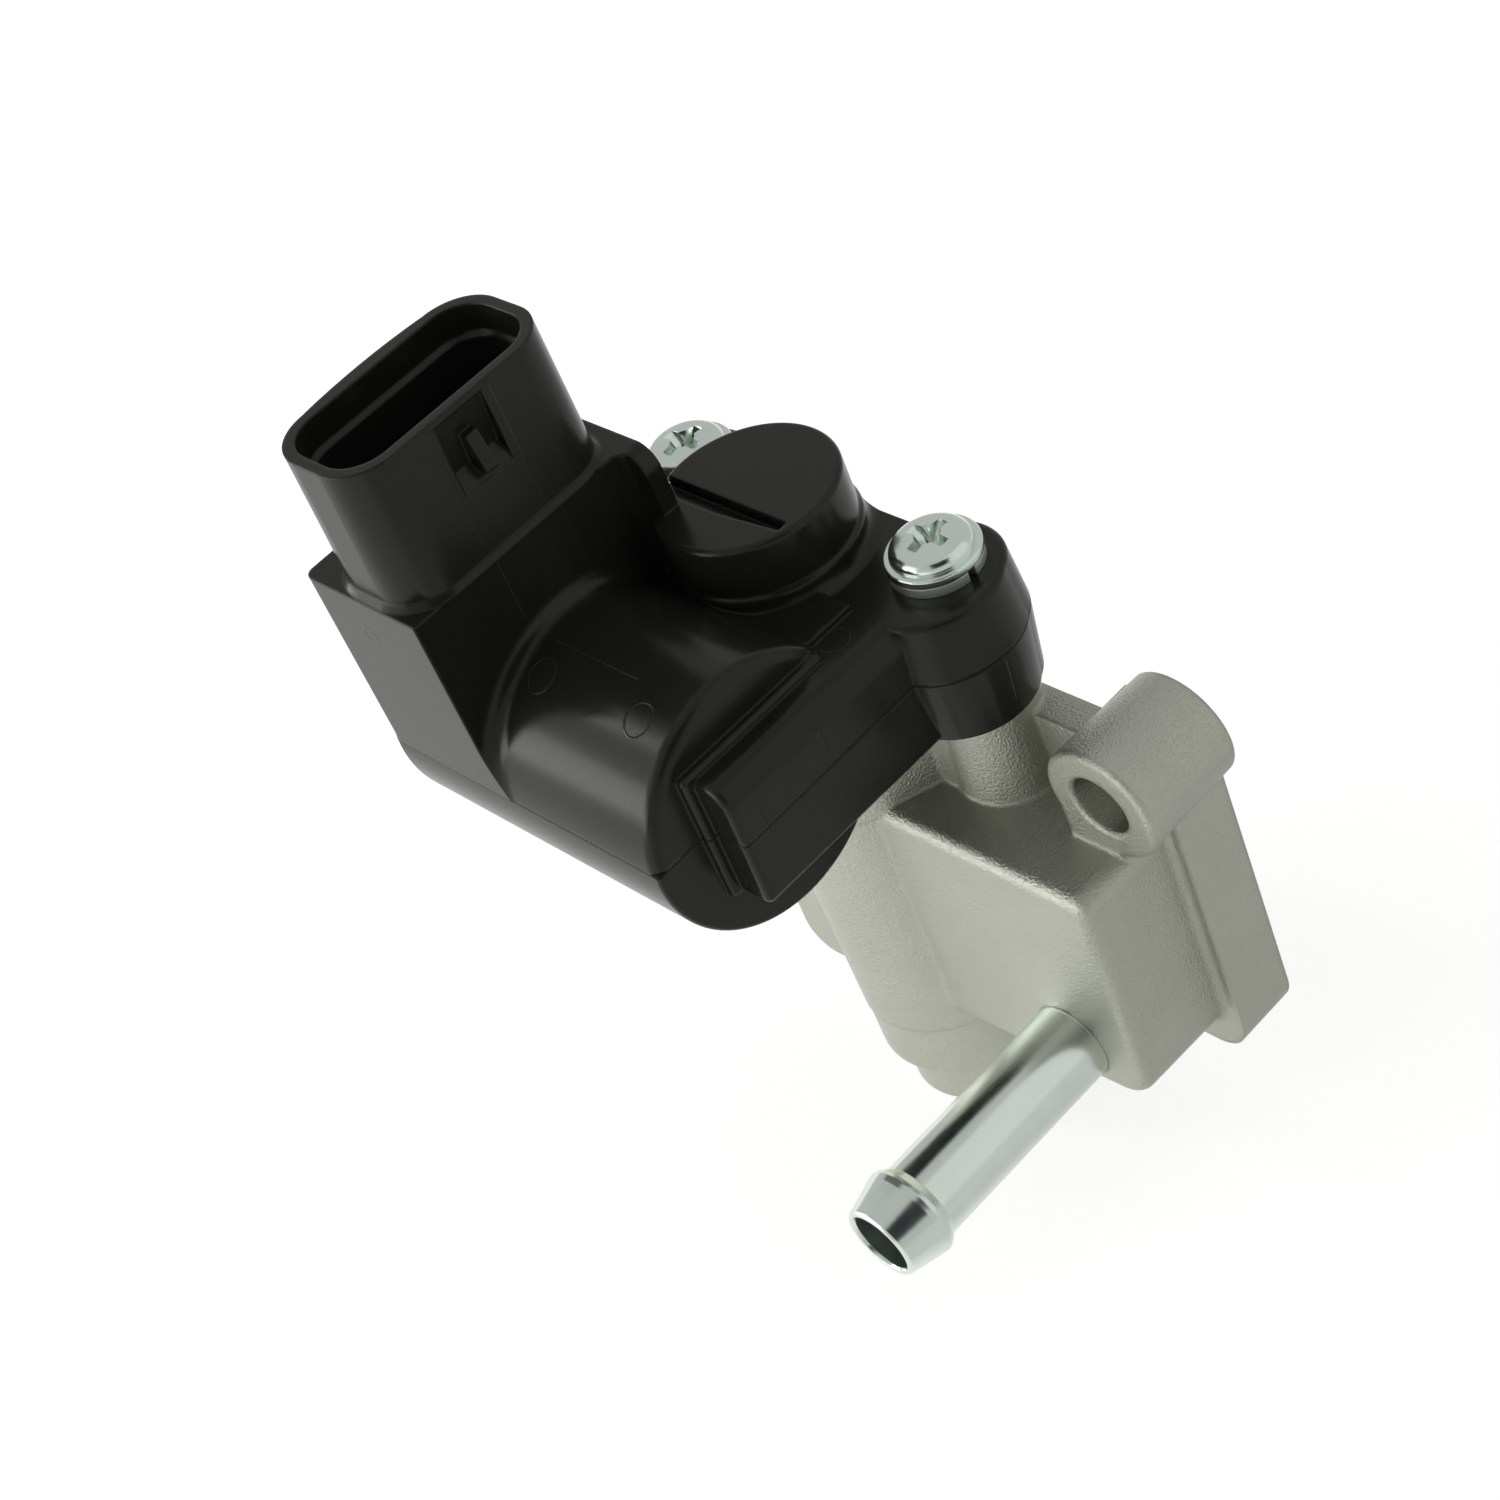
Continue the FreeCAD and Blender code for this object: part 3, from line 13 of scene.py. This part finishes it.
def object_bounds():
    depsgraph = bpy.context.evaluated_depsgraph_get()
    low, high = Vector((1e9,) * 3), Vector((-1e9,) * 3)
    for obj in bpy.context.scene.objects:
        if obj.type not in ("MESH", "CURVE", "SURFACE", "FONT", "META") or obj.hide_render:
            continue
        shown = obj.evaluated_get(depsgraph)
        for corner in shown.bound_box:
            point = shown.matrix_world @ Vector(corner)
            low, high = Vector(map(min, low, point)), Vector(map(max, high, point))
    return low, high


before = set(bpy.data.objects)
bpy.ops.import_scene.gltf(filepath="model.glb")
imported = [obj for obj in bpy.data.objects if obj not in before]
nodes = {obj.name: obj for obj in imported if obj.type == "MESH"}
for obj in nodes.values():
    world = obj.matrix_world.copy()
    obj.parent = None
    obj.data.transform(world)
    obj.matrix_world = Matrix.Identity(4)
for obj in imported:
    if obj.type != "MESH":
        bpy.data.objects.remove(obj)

MM = 0.001
cad_box = [list(corner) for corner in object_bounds()]
print(f"{len(nodes)} CAD pieces, from {cad_box[0]} to {cad_box[1]}")

# %% [markdown]
# The picture was taken with a short telephoto lens, from the front right and well above, with the
# camera leaning. The place, the two angles and the lean were worked out from straight edges of the
# case and the valve body, so the same view direction is built here from those angles.

# %% Camera
CAMERA_PLACE = Vector((197.4, -129.0, 207.6)) * MM
CAMERA_AZIMUTH = math.radians(61.71)
CAMERA_ELEVATION = math.radians(39.79)
CAMERA_LEAN = math.radians(24.36)
SENSOR_WIDTH, LENS = 36.0, 74.66
FRAME_SHIFT = (-0.0032, -0.0044)

back = Vector((math.sin(CAMERA_AZIMUTH) * math.cos(CAMERA_ELEVATION),
               -math.cos(CAMERA_AZIMUTH) * math.cos(CAMERA_ELEVATION), math.sin(CAMERA_ELEVATION)))
upright = (-back).to_track_quat("-Z", "Y").to_matrix()
camera_data = bpy.data.cameras.new("camera")
camera_data.sensor_width = SENSOR_WIDTH
camera_data.lens = LENS
camera_data.shift_x, camera_data.shift_y = FRAME_SHIFT
camera_data.clip_start = 10 * MM
camera = bpy.data.objects.new("camera", camera_data)
camera.matrix_world = (Matrix.Translation(CAMERA_PLACE)
                       @ (upright @ Matrix.Rotation(-CAMERA_LEAN, 3, "Z")).to_4x4())
bpy.context.scene.collection.objects.link(camera)
bpy.context.scene.camera = camera
print(f"camera {CAMERA_PLACE.length / MM:.0f} mm from the mounting face")

# %% [markdown]
# A finish is a small network of nodes. Written out one node at a time it is long and hard to read,
# so two helpers do it: a Wire is the output of a node and can be added and multiplied like a
# number, and a Finish is one material that makes any node from its type, settings and inputs.

# %% Helpers for finishes
class Wire:
    """The output of a node, on which arithmetic adds Math nodes."""

    def __init__(self, finish, socket):
        self.finish = finish
        self.socket = socket

    def math(self, operation, *others):
        inputs = dict(enumerate((self, *others)))
        return self.finish.node("ShaderNodeMath", {"operation": operation}, inputs)

    def __add__(self, other):
        return self.math("ADD", other)

    __radd__ = __add__

    def __sub__(self, other):
        return self.math("SUBTRACT", other)

    def __rsub__(self, other):
        return self.finish.node("ShaderNodeMath", {"operation": "SUBTRACT"}, {0: other, 1: self})

    def __mul__(self, other):
        return self.math("MULTIPLY", other)

    __rmul__ = __mul__

    def size(self):
        return self.math("ABSOLUTE")

    def largest(self, other):
        return self.math("MAXIMUM", other)


class Finish:
    """A node material with a Principled shader, whose constants are set straight on its sockets."""

    def __init__(self, name, **constants):
        self.material = bpy.data.materials.new(name)
        self.material.use_nodes = True
        self.tree = self.material.node_tree
        self.shader = self.tree.nodes["Principled BSDF"]
        for socket, value in constants.items():
            self.shader.inputs[socket.replace("_", " ")].default_value = value

    def node(self, kind, settings=None, inputs=None, output=0):
        made = self.tree.nodes.new(kind)
        for name, value in (settings or {}).items():
            setattr(made, name, value)
        for name, value in (inputs or {}).items():
            if isinstance(value, Wire):
                self.tree.links.new(value.socket, made.inputs[name])
            else:
                made.inputs[name].default_value = value
        return Wire(self, made.outputs[output])

    def feed(self, socket, wire):
        self.tree.links.new(wire.socket, self.shader.inputs[socket])

    def place(self):
        """Where a point is on the object, in millimetres."""
        raw = self.node("ShaderNodeTexCoord", output="Object")
        return self.node("ShaderNodeVectorMath", {"operation": "SCALE"}, {0: raw, "Scale": 1 / MM})

    def axes(self, place):
        return [self.node("ShaderNodeSeparateXYZ", inputs={0: place}, output=axis) for axis in "XYZ"]

    def noise(self, place, scale, detail=3.0, roughness=0.5):
        return self.node("ShaderNodeTexNoise", inputs={
            "Vector": place, "Scale": scale, "Detail": detail, "Roughness": roughness})

    def ease(self, wire, low, high, to_low=0.0, to_high=1.0):
        """A smooth passage from one value to another while the wire goes from low to high."""
        return self.node("ShaderNodeMapRange", {"interpolation_type": "SMOOTHSTEP"}, {
            "Value": wire, "From Min": low, "From Max": high, "To Min": to_low, "To Max": to_high})

    def blend(self, share, first, second):
        """A colour between two, by a share from 0 to 1."""
        return self.node("ShaderNodeMix", {"data_type": "RGBA"}, {0: share, 6: first, 7: second}, output=2)

    def bump(self, height, distance, strength=1.0, normal=None):
        inputs = {"Height": height, "Distance": distance, "Strength": strength}
        if normal is not None:
            inputs["Normal"] = normal
        return self.node("ShaderNodeBump", inputs=inputs)

    def soft_edges(self, radius):
        return self.node("ShaderNodeBevel", {"samples": 6}, {"Radius": radius})


def dress(finish, *names):
    """Give CAD pieces a finish by their material slots."""
    for name in names:
        for slot in nodes[name].material_slots:
            slot.material = finish.material
    print(f"{finish.material.name}: {', '.join(names)}")


# %% [markdown]
# The motor case is one moulding of black glass-filled nylon. Its tool closes on a flat parting
# plane, which leaves a thin dark seam all round. Ejector pins leave round witness marks, and the
# joints between blocks of the tool leave faint straight lines. All of these are marks in the skin,
# thinner than a hair, so they are drawn in the finish and not modelled.

# %% Marks of the mould
PARTING_HEIGHT = 30.7
SEAM_HALF_WIDTH = 0.24
LINE_HALF_WIDTH = 0.09
LINE_END = 0.1
RING_HALF_WIDTH = 0.12
PIN_RADIUS = 1.5
HOUSING_PINS = [(-3.85, -37.4), (9.4, -37.2)]
YOKE_PIN = (14.4, -19.1)
PLUG_PIN, PLUG_PIN_RADIUS, PLUG_FACE = (-16.7, 47.2), 0.9, -44.5
HOUSING_LEVELS = (34.0, 50.0)
HOUSING_LINE, HOUSING_LINE_ENDS = -34.2, (-5.6, 6.8)
SIDE_LINES = [
    # distance in front of the mounting face, lowest and highest point, least reach to the right
    (34.7, 44.2, 51.3, -7.6),
    (26.6, 42.4, 51.3, -7.6),
    (35.1, 53.4, 66.0, -8.6),
    (27.9, 53.4, 66.0, -8.6),
    (26.7, 30.8, 35.3, 18.8),
    (35.2, 29.6, 33.6, 18.8),
    (9.4, 25.0, 30.3, 22.0),
]

nylon = Finish("black_nylon", Specular_IOR_Level=0.28, Specular_Tint=(0.97, 1.0, 0.93, 1))
place = nylon.place()
x, y, z = nylon.axes(place)


def thin_line(wire, position, half_width=LINE_HALF_WIDTH):
    """1 where the wire is at the position, and 0 from the half width on."""
    return nylon.ease((wire - position).size(), 0.0, half_width, 1.0, 0.0)


def inside(wire, low, high):
    """1 between two values of the wire, with soft ends."""
    return nylon.ease(wire, low, low + LINE_END) * nylon.ease(wire, high - LINE_END, high, 1.0, 0.0)


def pin_mark(across, along, middle, radius):
    """The ring that an ejector pin leaves."""
    across = across - middle[0]
    along = along - middle[1]
    return thin_line((across * across + along * along).math("SQRT"), radius, RING_HALF_WIDTH)


on_housing = inside(z, *HOUSING_LEVELS)
pin_marks = pin_mark(x, y, HOUSING_PINS[0], PIN_RADIUS) + pin_mark(x, y, HOUSING_PINS[1], PIN_RADIUS)
pin_marks = pin_marks + pin_mark(x, y, YOKE_PIN, PIN_RADIUS) * 0.5
pin_marks = pin_marks * on_housing
on_plug_face = nylon.ease(y, PLUG_FACE - LINE_END, PLUG_FACE, 1.0, 0.0)
pin_marks = pin_marks + pin_mark(x, z, PLUG_PIN, PLUG_PIN_RADIUS) * on_plug_face
lines = thin_line(y, HOUSING_LINE) * inside(x, *HOUSING_LINE_ENDS) * on_housing
for depth, lowest, highest, reach in SIDE_LINES:
    on_side = nylon.ease(x, reach - LINE_END, reach)
    lines = lines + thin_line(y, -depth) * inside(z, lowest, highest) * on_side
seam = thin_line(z, PARTING_HEIGHT, SEAM_HALF_WIDTH)
print(f"{len(HOUSING_PINS) + 2} pin marks and {len(SIDE_LINES) + 1} tool joints drawn")

# %% [markdown]
# Glass-filled nylon is nearly black, and it is glossy where the tool was polished. Its grey sheen
# is the white room in a slightly uneven mirror, so the base stays dark and the gloss does the work.

# %% Black moulded nylon
NYLON_DARK, NYLON_LIGHT = (0.0125, 0.0128, 0.0112, 1), (0.0165, 0.0168, 0.015, 1)
MARK_COLOUR, SEAM_COLOUR = (0.05, 0.052, 0.048, 1), (0.001, 0.001, 0.001, 1)
GRAIN_HEIGHT, MARK_HEIGHT, NYLON_EDGE = 0.014, 0.12, 0.4
cloud = nylon.noise(place, 0.12, 2.0)
grain = nylon.noise(place, 3.2, 3.0, 0.6)
shade = nylon.blend(cloud, NYLON_DARK, NYLON_LIGHT)
shade = nylon.blend(pin_marks * 0.25 + lines * 0.35, shade, MARK_COLOUR)
nylon.feed("Base Color", nylon.blend(seam * 0.9, shade, SEAM_COLOUR))
nylon.feed("Roughness", 0.17 + cloud * 0.07 + grain * 0.03 + seam * 0.3)
skin = nylon.bump(grain, GRAIN_HEIGHT * MM, 0.6, nylon.soft_edges(NYLON_EDGE * MM))
nylon.feed("Normal", nylon.bump(pin_marks * 0.3 + lines * 0.33 - seam, MARK_HEIGHT * MM, 1.0, skin))
dress(nylon, "motor_case")

# %% [markdown]
# The valve body is an aluminium die casting, blasted to a fine even grain. A blasted casting is
# bare metal, so it has no colour of its own: it shows a blurred and slightly warm copy of what is
# round it. The grain sparkles where the surface curves, which needs a real bump and not a speckle.

# %% Blasted aluminium casting
CAST_DARK, CAST_LIGHT = (0.52, 0.532, 0.46, 1), (0.585, 0.598, 0.516, 1)
GRAIN_COLOUR, PIT_COLOUR = (0.38, 0.39, 0.335, 1), (0.28, 0.28, 0.25, 1)
BLAST_HEIGHT, CAST_EDGE = 0.16, 0.8
casting = Finish("blasted_aluminium", Metallic=1.0)
place = casting.place()
cloud = casting.noise(place, 0.16, 3.0)
grain = casting.noise(place, 3.8, 3.0, 0.6)
pits = casting.ease(casting.noise(place, 1.1, 2.0), 0.72, 0.84)
tone = casting.blend(cloud, CAST_DARK, CAST_LIGHT)
tone = casting.blend(grain * 0.3, tone, GRAIN_COLOUR)
casting.feed("Base Color", casting.blend(pits * 0.4, tone, PIT_COLOUR))
casting.feed("Roughness", 0.26 + grain * 0.12 + cloud * 0.05)
rounded = casting.soft_edges(CAST_EDGE * MM)
casting.feed("Normal", casting.bump(grain - pits * 0.1, BLAST_HEIGHT * MM, 1.0, rounded))
dress(casting, "valve_body")

# %% [markdown]
# The nipple and the screws are steel with a thin zinc plate and a clear blue passivation. The plate
# is smooth enough to mirror the room, with a faint green-blue tint; its shallow turning lines are given
# only as a fine noise bump.

# %% Blue-white zinc plate
def zinc_plate(name, roughness):
    """Zinc plate over steel, brighter or duller by its roughness."""
    finish = Finish(name, Metallic=1.0)
    place = finish.place()
    cloud = finish.noise(place, 0.35, 3.0)
    fine = finish.noise(place, 4.0, 2.0)
    finish.feed("Base Color", finish.blend(cloud, (0.73, 0.81, 0.79, 1), (0.85, 0.92, 0.82, 1)))
    finish.feed("Roughness", roughness + cloud * 0.08 + fine * 0.05)
    finish.feed("Normal", finish.bump(fine, 0.006 * MM, 0.5, finish.soft_edges(0.12 * MM)))
    return finish


bright_zinc = zinc_plate("bright_zinc_plate", 0.13)
dull_zinc = zinc_plate("dull_zinc_plate", 0.38)
dress(bright_zinc, "hose_nipple", "case_screw_left", "case_screw_right")
dress(dull_zinc, "spring_washer_left", "spring_washer_right")

# %% [markdown]
# The pieces inside are seen only through the ports, the socket and the screw holes. Each still gets
# the finish of its real material, because the model is also taken apart and looked at.

# %% Metals inside
def metal(name, light, dark, roughness, scale, grain_height):
    """A bare metal with two tones, an uneven gloss and a fine grain."""
    finish = Finish(name, Metallic=1.0)
    place = finish.place()
    cloud = finish.noise(place, scale, 3.0)
    grain = finish.noise(place, 12 * scale, 3.0, 0.6)
    finish.feed("Base Color", finish.blend(cloud, (*dark, 1), (*light, 1)))
    finish.feed("Roughness", roughness + cloud * 0.12)
    finish.feed("Normal", finish.bump(grain, grain_height * MM, 0.5))
    return finish


iron = metal("soft_iron", (0.44, 0.43, 0.42), (0.3, 0.29, 0.28), 0.38, 0.3, 0.02)
ground_steel = metal("ground_steel", (0.62, 0.62, 0.63), (0.52, 0.52, 0.54), 0.2, 0.4, 0.006)
turned_steel = metal("turned_steel", (0.58, 0.57, 0.55), (0.46, 0.45, 0.44), 0.28, 0.4, 0.01)
ferrite = metal("ferrite", (0.13, 0.13, 0.14), (0.08, 0.08, 0.085), 0.5, 0.5, 0.02)
brass = metal("brass", (0.73, 0.56, 0.27), (0.6, 0.45, 0.2), 0.26, 0.4, 0.01)
plate_metal = metal("turned_aluminium", (0.7, 0.7, 0.69), (0.58, 0.58, 0.57), 0.32, 0.4, 0.01)
tin = metal("tin_plate", (0.76, 0.75, 0.71), (0.64, 0.63, 0.6), 0.24, 0.5, 0.008)
dress(iron, "coil_core", "pole_arm_left", "pole_arm_right")
dress(ground_steel, "rotor_shaft", "lower_bearing")
dress(turned_steel, "rotary_valve")
dress(ferrite, "rotor_magnet")
dress(brass, "upper_bearing", "screw_sleeve_left", "screw_sleeve_right")
dress(plate_metal, "bearing_plate")
dress(tin, "terminal_pin_front", "terminal_pin_middle", "terminal_pin_rear")

# %% [markdown]
# The rings in the mounting flange do show, from behind. Moulded rubber is a little lighter and
# duller than the case, with a fine matt skin.

# %% Rubber seals
rubber = Finish("moulded_rubber", Specular_IOR_Level=0.3)
place = rubber.place()
cloud = rubber.noise(place, 0.5, 3.0)
rubber.feed("Base Color", rubber.blend(cloud, (0.012, 0.012, 0.012, 1), (0.028, 0.028, 0.027, 1)))
rubber.feed("Roughness", 0.55 + cloud * 0.15)
rubber.feed("Normal", rubber.bump(rubber.noise(place, 5.0), 0.02 * MM, 0.5))
dress(rubber, "plate_seal", "shaft_seal", "inlet_seal", "outlet_seal", "coolant_seal")

# %% [markdown]
# The coil is wound on a bobbin of pale nylon. Each winding is one solid ring in the CAD, so its turns
# are drawn in the finish: a sine along the coil's axis gives one ridge for each turn of wire, and the
# same sine darkens the copper in the grooves between turns as painted shade.

# %% Bobbin and copper windings
bobbin = Finish("bobbin_nylon", Specular_IOR_Level=0.4)
place = bobbin.place()
cloud = bobbin.noise(place, 0.3, 3.0)
bobbin.feed("Base Color", bobbin.blend(cloud, (0.62, 0.58, 0.47, 1), (0.72, 0.69, 0.58, 1)))
bobbin.feed("Roughness", 0.4 + cloud * 0.1)
bobbin.feed("Normal", bobbin.bump(bobbin.noise(place, 4.0), 0.01 * MM, 0.5))
dress(bobbin, "coil_bobbin")

WIRE_PITCH = 0.35
copper = Finish("enamelled_copper", Metallic=0.85)
place = copper.place()
x, y, z = copper.axes(place)
ridge_and_painted_groove_shade = (x * (math.pi / WIRE_PITCH)).math("SINE").size()
cloud = copper.noise(place, 0.4, 2.0)
# The dark copper colour in the grooves between turns is painted shade; the crests keep the copper's own
# colour.
copper.feed("Base Color", copper.blend(ridge_and_painted_groove_shade, (0.16, 0.06, 0.02, 1), (0.62, 0.27, 0.11, 1)))
copper.feed("Roughness", 0.25 + cloud * 0.1)
copper.feed("Normal", copper.bump(ridge_and_painted_groove_shade, 0.12 * MM, 0.9))
dress(copper, "coil_winding_close", "coil_winding_open")

# %% [markdown]
# The object was photographed on white, in soft light. A wide floor gives it something to stand over
# and to catch its shadow. Lit floors come out grey, so the floor also glows a little, but only for
# the camera and for mirrors, which puts no more light on the object. In the photograph the casting's
# right faces are darker than its front ones, though both mirror the floor, so what they see of the
# glow fades from the left of the object to its right.

# %% Floor
FLOOR_GAP = 0.4
FLOOR_GLOW = 0.55
FADE_DIRECTION = (0.88, 0.47)
FADE_START, FADE_END = 0.0, 30.0
FLOOR_HALF_WIDTH = 3.0
LEFT_SHARE, RIGHT_SHARE = 0.74, 0.2
floor_mesh = bpy.data.meshes.new("floor")
shape = bmesh.new()
bmesh.ops.create_grid(shape, x_segments=1, y_segments=1, size=FLOOR_HALF_WIDTH)
bmesh.ops.translate(shape, verts=shape.verts, vec=(0, 0, cad_box[0][2] - FLOOR_GAP * MM))
shape.to_mesh(floor_mesh)
shape.free()
floor = bpy.data.objects.new("floor", floor_mesh)
bpy.context.scene.collection.objects.link(floor)

paper = Finish("floor_paper", Roughness=0.8, Specular_IOR_Level=0.2)
paper.shader.inputs["Base Color"].default_value = (0.86, 0.86, 0.855, 1)
x, y, z = paper.axes(paper.place())
to_right = x * FADE_DIRECTION[0] + y * FADE_DIRECTION[1]
share = paper.ease(to_right, FADE_START, FADE_END, LEFT_SHARE, RIGHT_SHARE)
ray = {name: paper.node("ShaderNodeLightPath", output=name)
       for name in ("Is Camera Ray", "Is Glossy Ray", "Is Transmission Ray")}
seen = ray["Is Camera Ray"].largest(ray["Is Transmission Ray"])
seen = seen.largest(ray["Is Glossy Ray"] * share)
paper.feed("Emission Color", paper.blend(seen, (0, 0, 0, 1), (1, 1, 0.995, 1)))
paper.shader.inputs["Emission Strength"].default_value = FLOOR_GLOW
floor_mesh.materials.append(paper.material)
print(f"floor at {cad_box[0][2] / MM - FLOOR_GAP:.1f} mm")

# %% [markdown]
# The soft grey sheen on the faces towards the socket's front says that the main light stood low on
# that side, over a white floor. It fades upwards on the round housing, so a weaker panel hangs over
# the first. A wide panel opposite lightens the nipple and the screws, and a far window with two
# panes leaves the small highlights on the round edges.

# %% Light
AIM = (0.0, -0.03, 0.02)
PANELS = [
    # name, place, width and height in metres, power in watts
    ("near_pane", (-0.6225, -0.3625, 0.5), 0.05, 0.11, 0.15),
    ("far_pane", (-0.6575, -0.2975, 0.5), 0.05, 0.11, 0.15),
    ("front_panel", (-0.66, -0.88, 0.16), 1.6, 0.36, 6.0),
    ("upper_panel", (-0.62, -0.82, 0.58), 1.4, 0.5, 1.5),
    ("side_panel", (0.68, 0.38, 0.52), 1.1, 1.2, 0.8),
]
for name, spot, width, height, power in PANELS:
    data = bpy.data.lights.new(name, "AREA")
    data.shape = "RECTANGLE"
    data.size, data.size_y = width, height
    data.energy = power
    lamp = bpy.data.objects.new(name, data)
    lamp.location = spot
    lamp.rotation_euler = (Vector(AIM) - Vector(spot)).to_track_quat("-Z", "Y").to_euler()
    bpy.context.scene.collection.objects.link(lamp)
print(f"{len(PANELS)} soft lights")

# %% [markdown]
# The dark patch in the nipple's cone is what stands behind the camera, so a black card is placed
# there. The camera does not see it, but the metals do.

# %% Black card
CARD_HALF_WIDTH, CARD_DISTANCE = 0.2, 0.55
card_mesh = bpy.data.meshes.new("black_card")
shape = bmesh.new()
bmesh.ops.create_grid(shape, x_segments=1, y_segments=1, size=CARD_HALF_WIDTH)
card_turn = (-back).to_track_quat("-Z", "Y").to_matrix().to_4x4()
card_place = Matrix.Translation(back * CARD_DISTANCE) @ card_turn
bmesh.ops.transform(shape, verts=shape.verts, matrix=card_place)
shape.to_mesh(card_mesh)
shape.free()
card = bpy.data.objects.new("black_card", card_mesh)
card.visible_camera = False
bpy.context.scene.collection.objects.link(card)
velvet = Finish("black_velvet", Roughness=0.9, Specular_IOR_Level=0.1)
velvet.shader.inputs["Base Color"].default_value = (0.02, 0.02, 0.028, 1)
card_mesh.materials.append(velvet.material)
print(f"black card {CARD_DISTANCE} m from the object")

# %% [markdown]
# The room is white for the camera. Left at that strength it would also flood the object with light,
# so the kind of ray picks the strength: white for the camera, half of it for light and for mirrors.

# %% Room
LIGHTING_ROOM, MIRRORED_ROOM = 0.5, 0.51
world = bpy.data.worlds.new("room")
bpy.context.scene.world = world
world.use_nodes = True
room = world.node_tree
dim = room.nodes["Background"]
white = room.nodes.new("ShaderNodeBackground")
mirrored = room.nodes.new("ShaderNodeBackground")
for background, strength in ((dim, LIGHTING_ROOM), (mirrored, MIRRORED_ROOM), (white, 1.0)):
    background.inputs["Color"].default_value = (1, 1, 1, 1)
    background.inputs["Strength"].default_value = strength
ray_kind = room.nodes.new("ShaderNodeLightPath")
lit = dim
for kind, background in (("Is Glossy Ray", mirrored), ("Is Camera Ray", white)):
    mix = room.nodes.new("ShaderNodeMixShader")
    room.links.new(ray_kind.outputs[kind], mix.inputs["Fac"])
    room.links.new(lit.outputs[0], mix.inputs[1])
    room.links.new(background.outputs[0], mix.inputs[2])
    lit = mix
room.links.new(lit.outputs[0], room.nodes["World Output"].inputs["Surface"])
bpy.context.scene.view_settings.view_transform = "Standard"
print(f"room of strength {LIGHTING_ROOM} for light and {MIRRORED_ROOM} for mirrors")
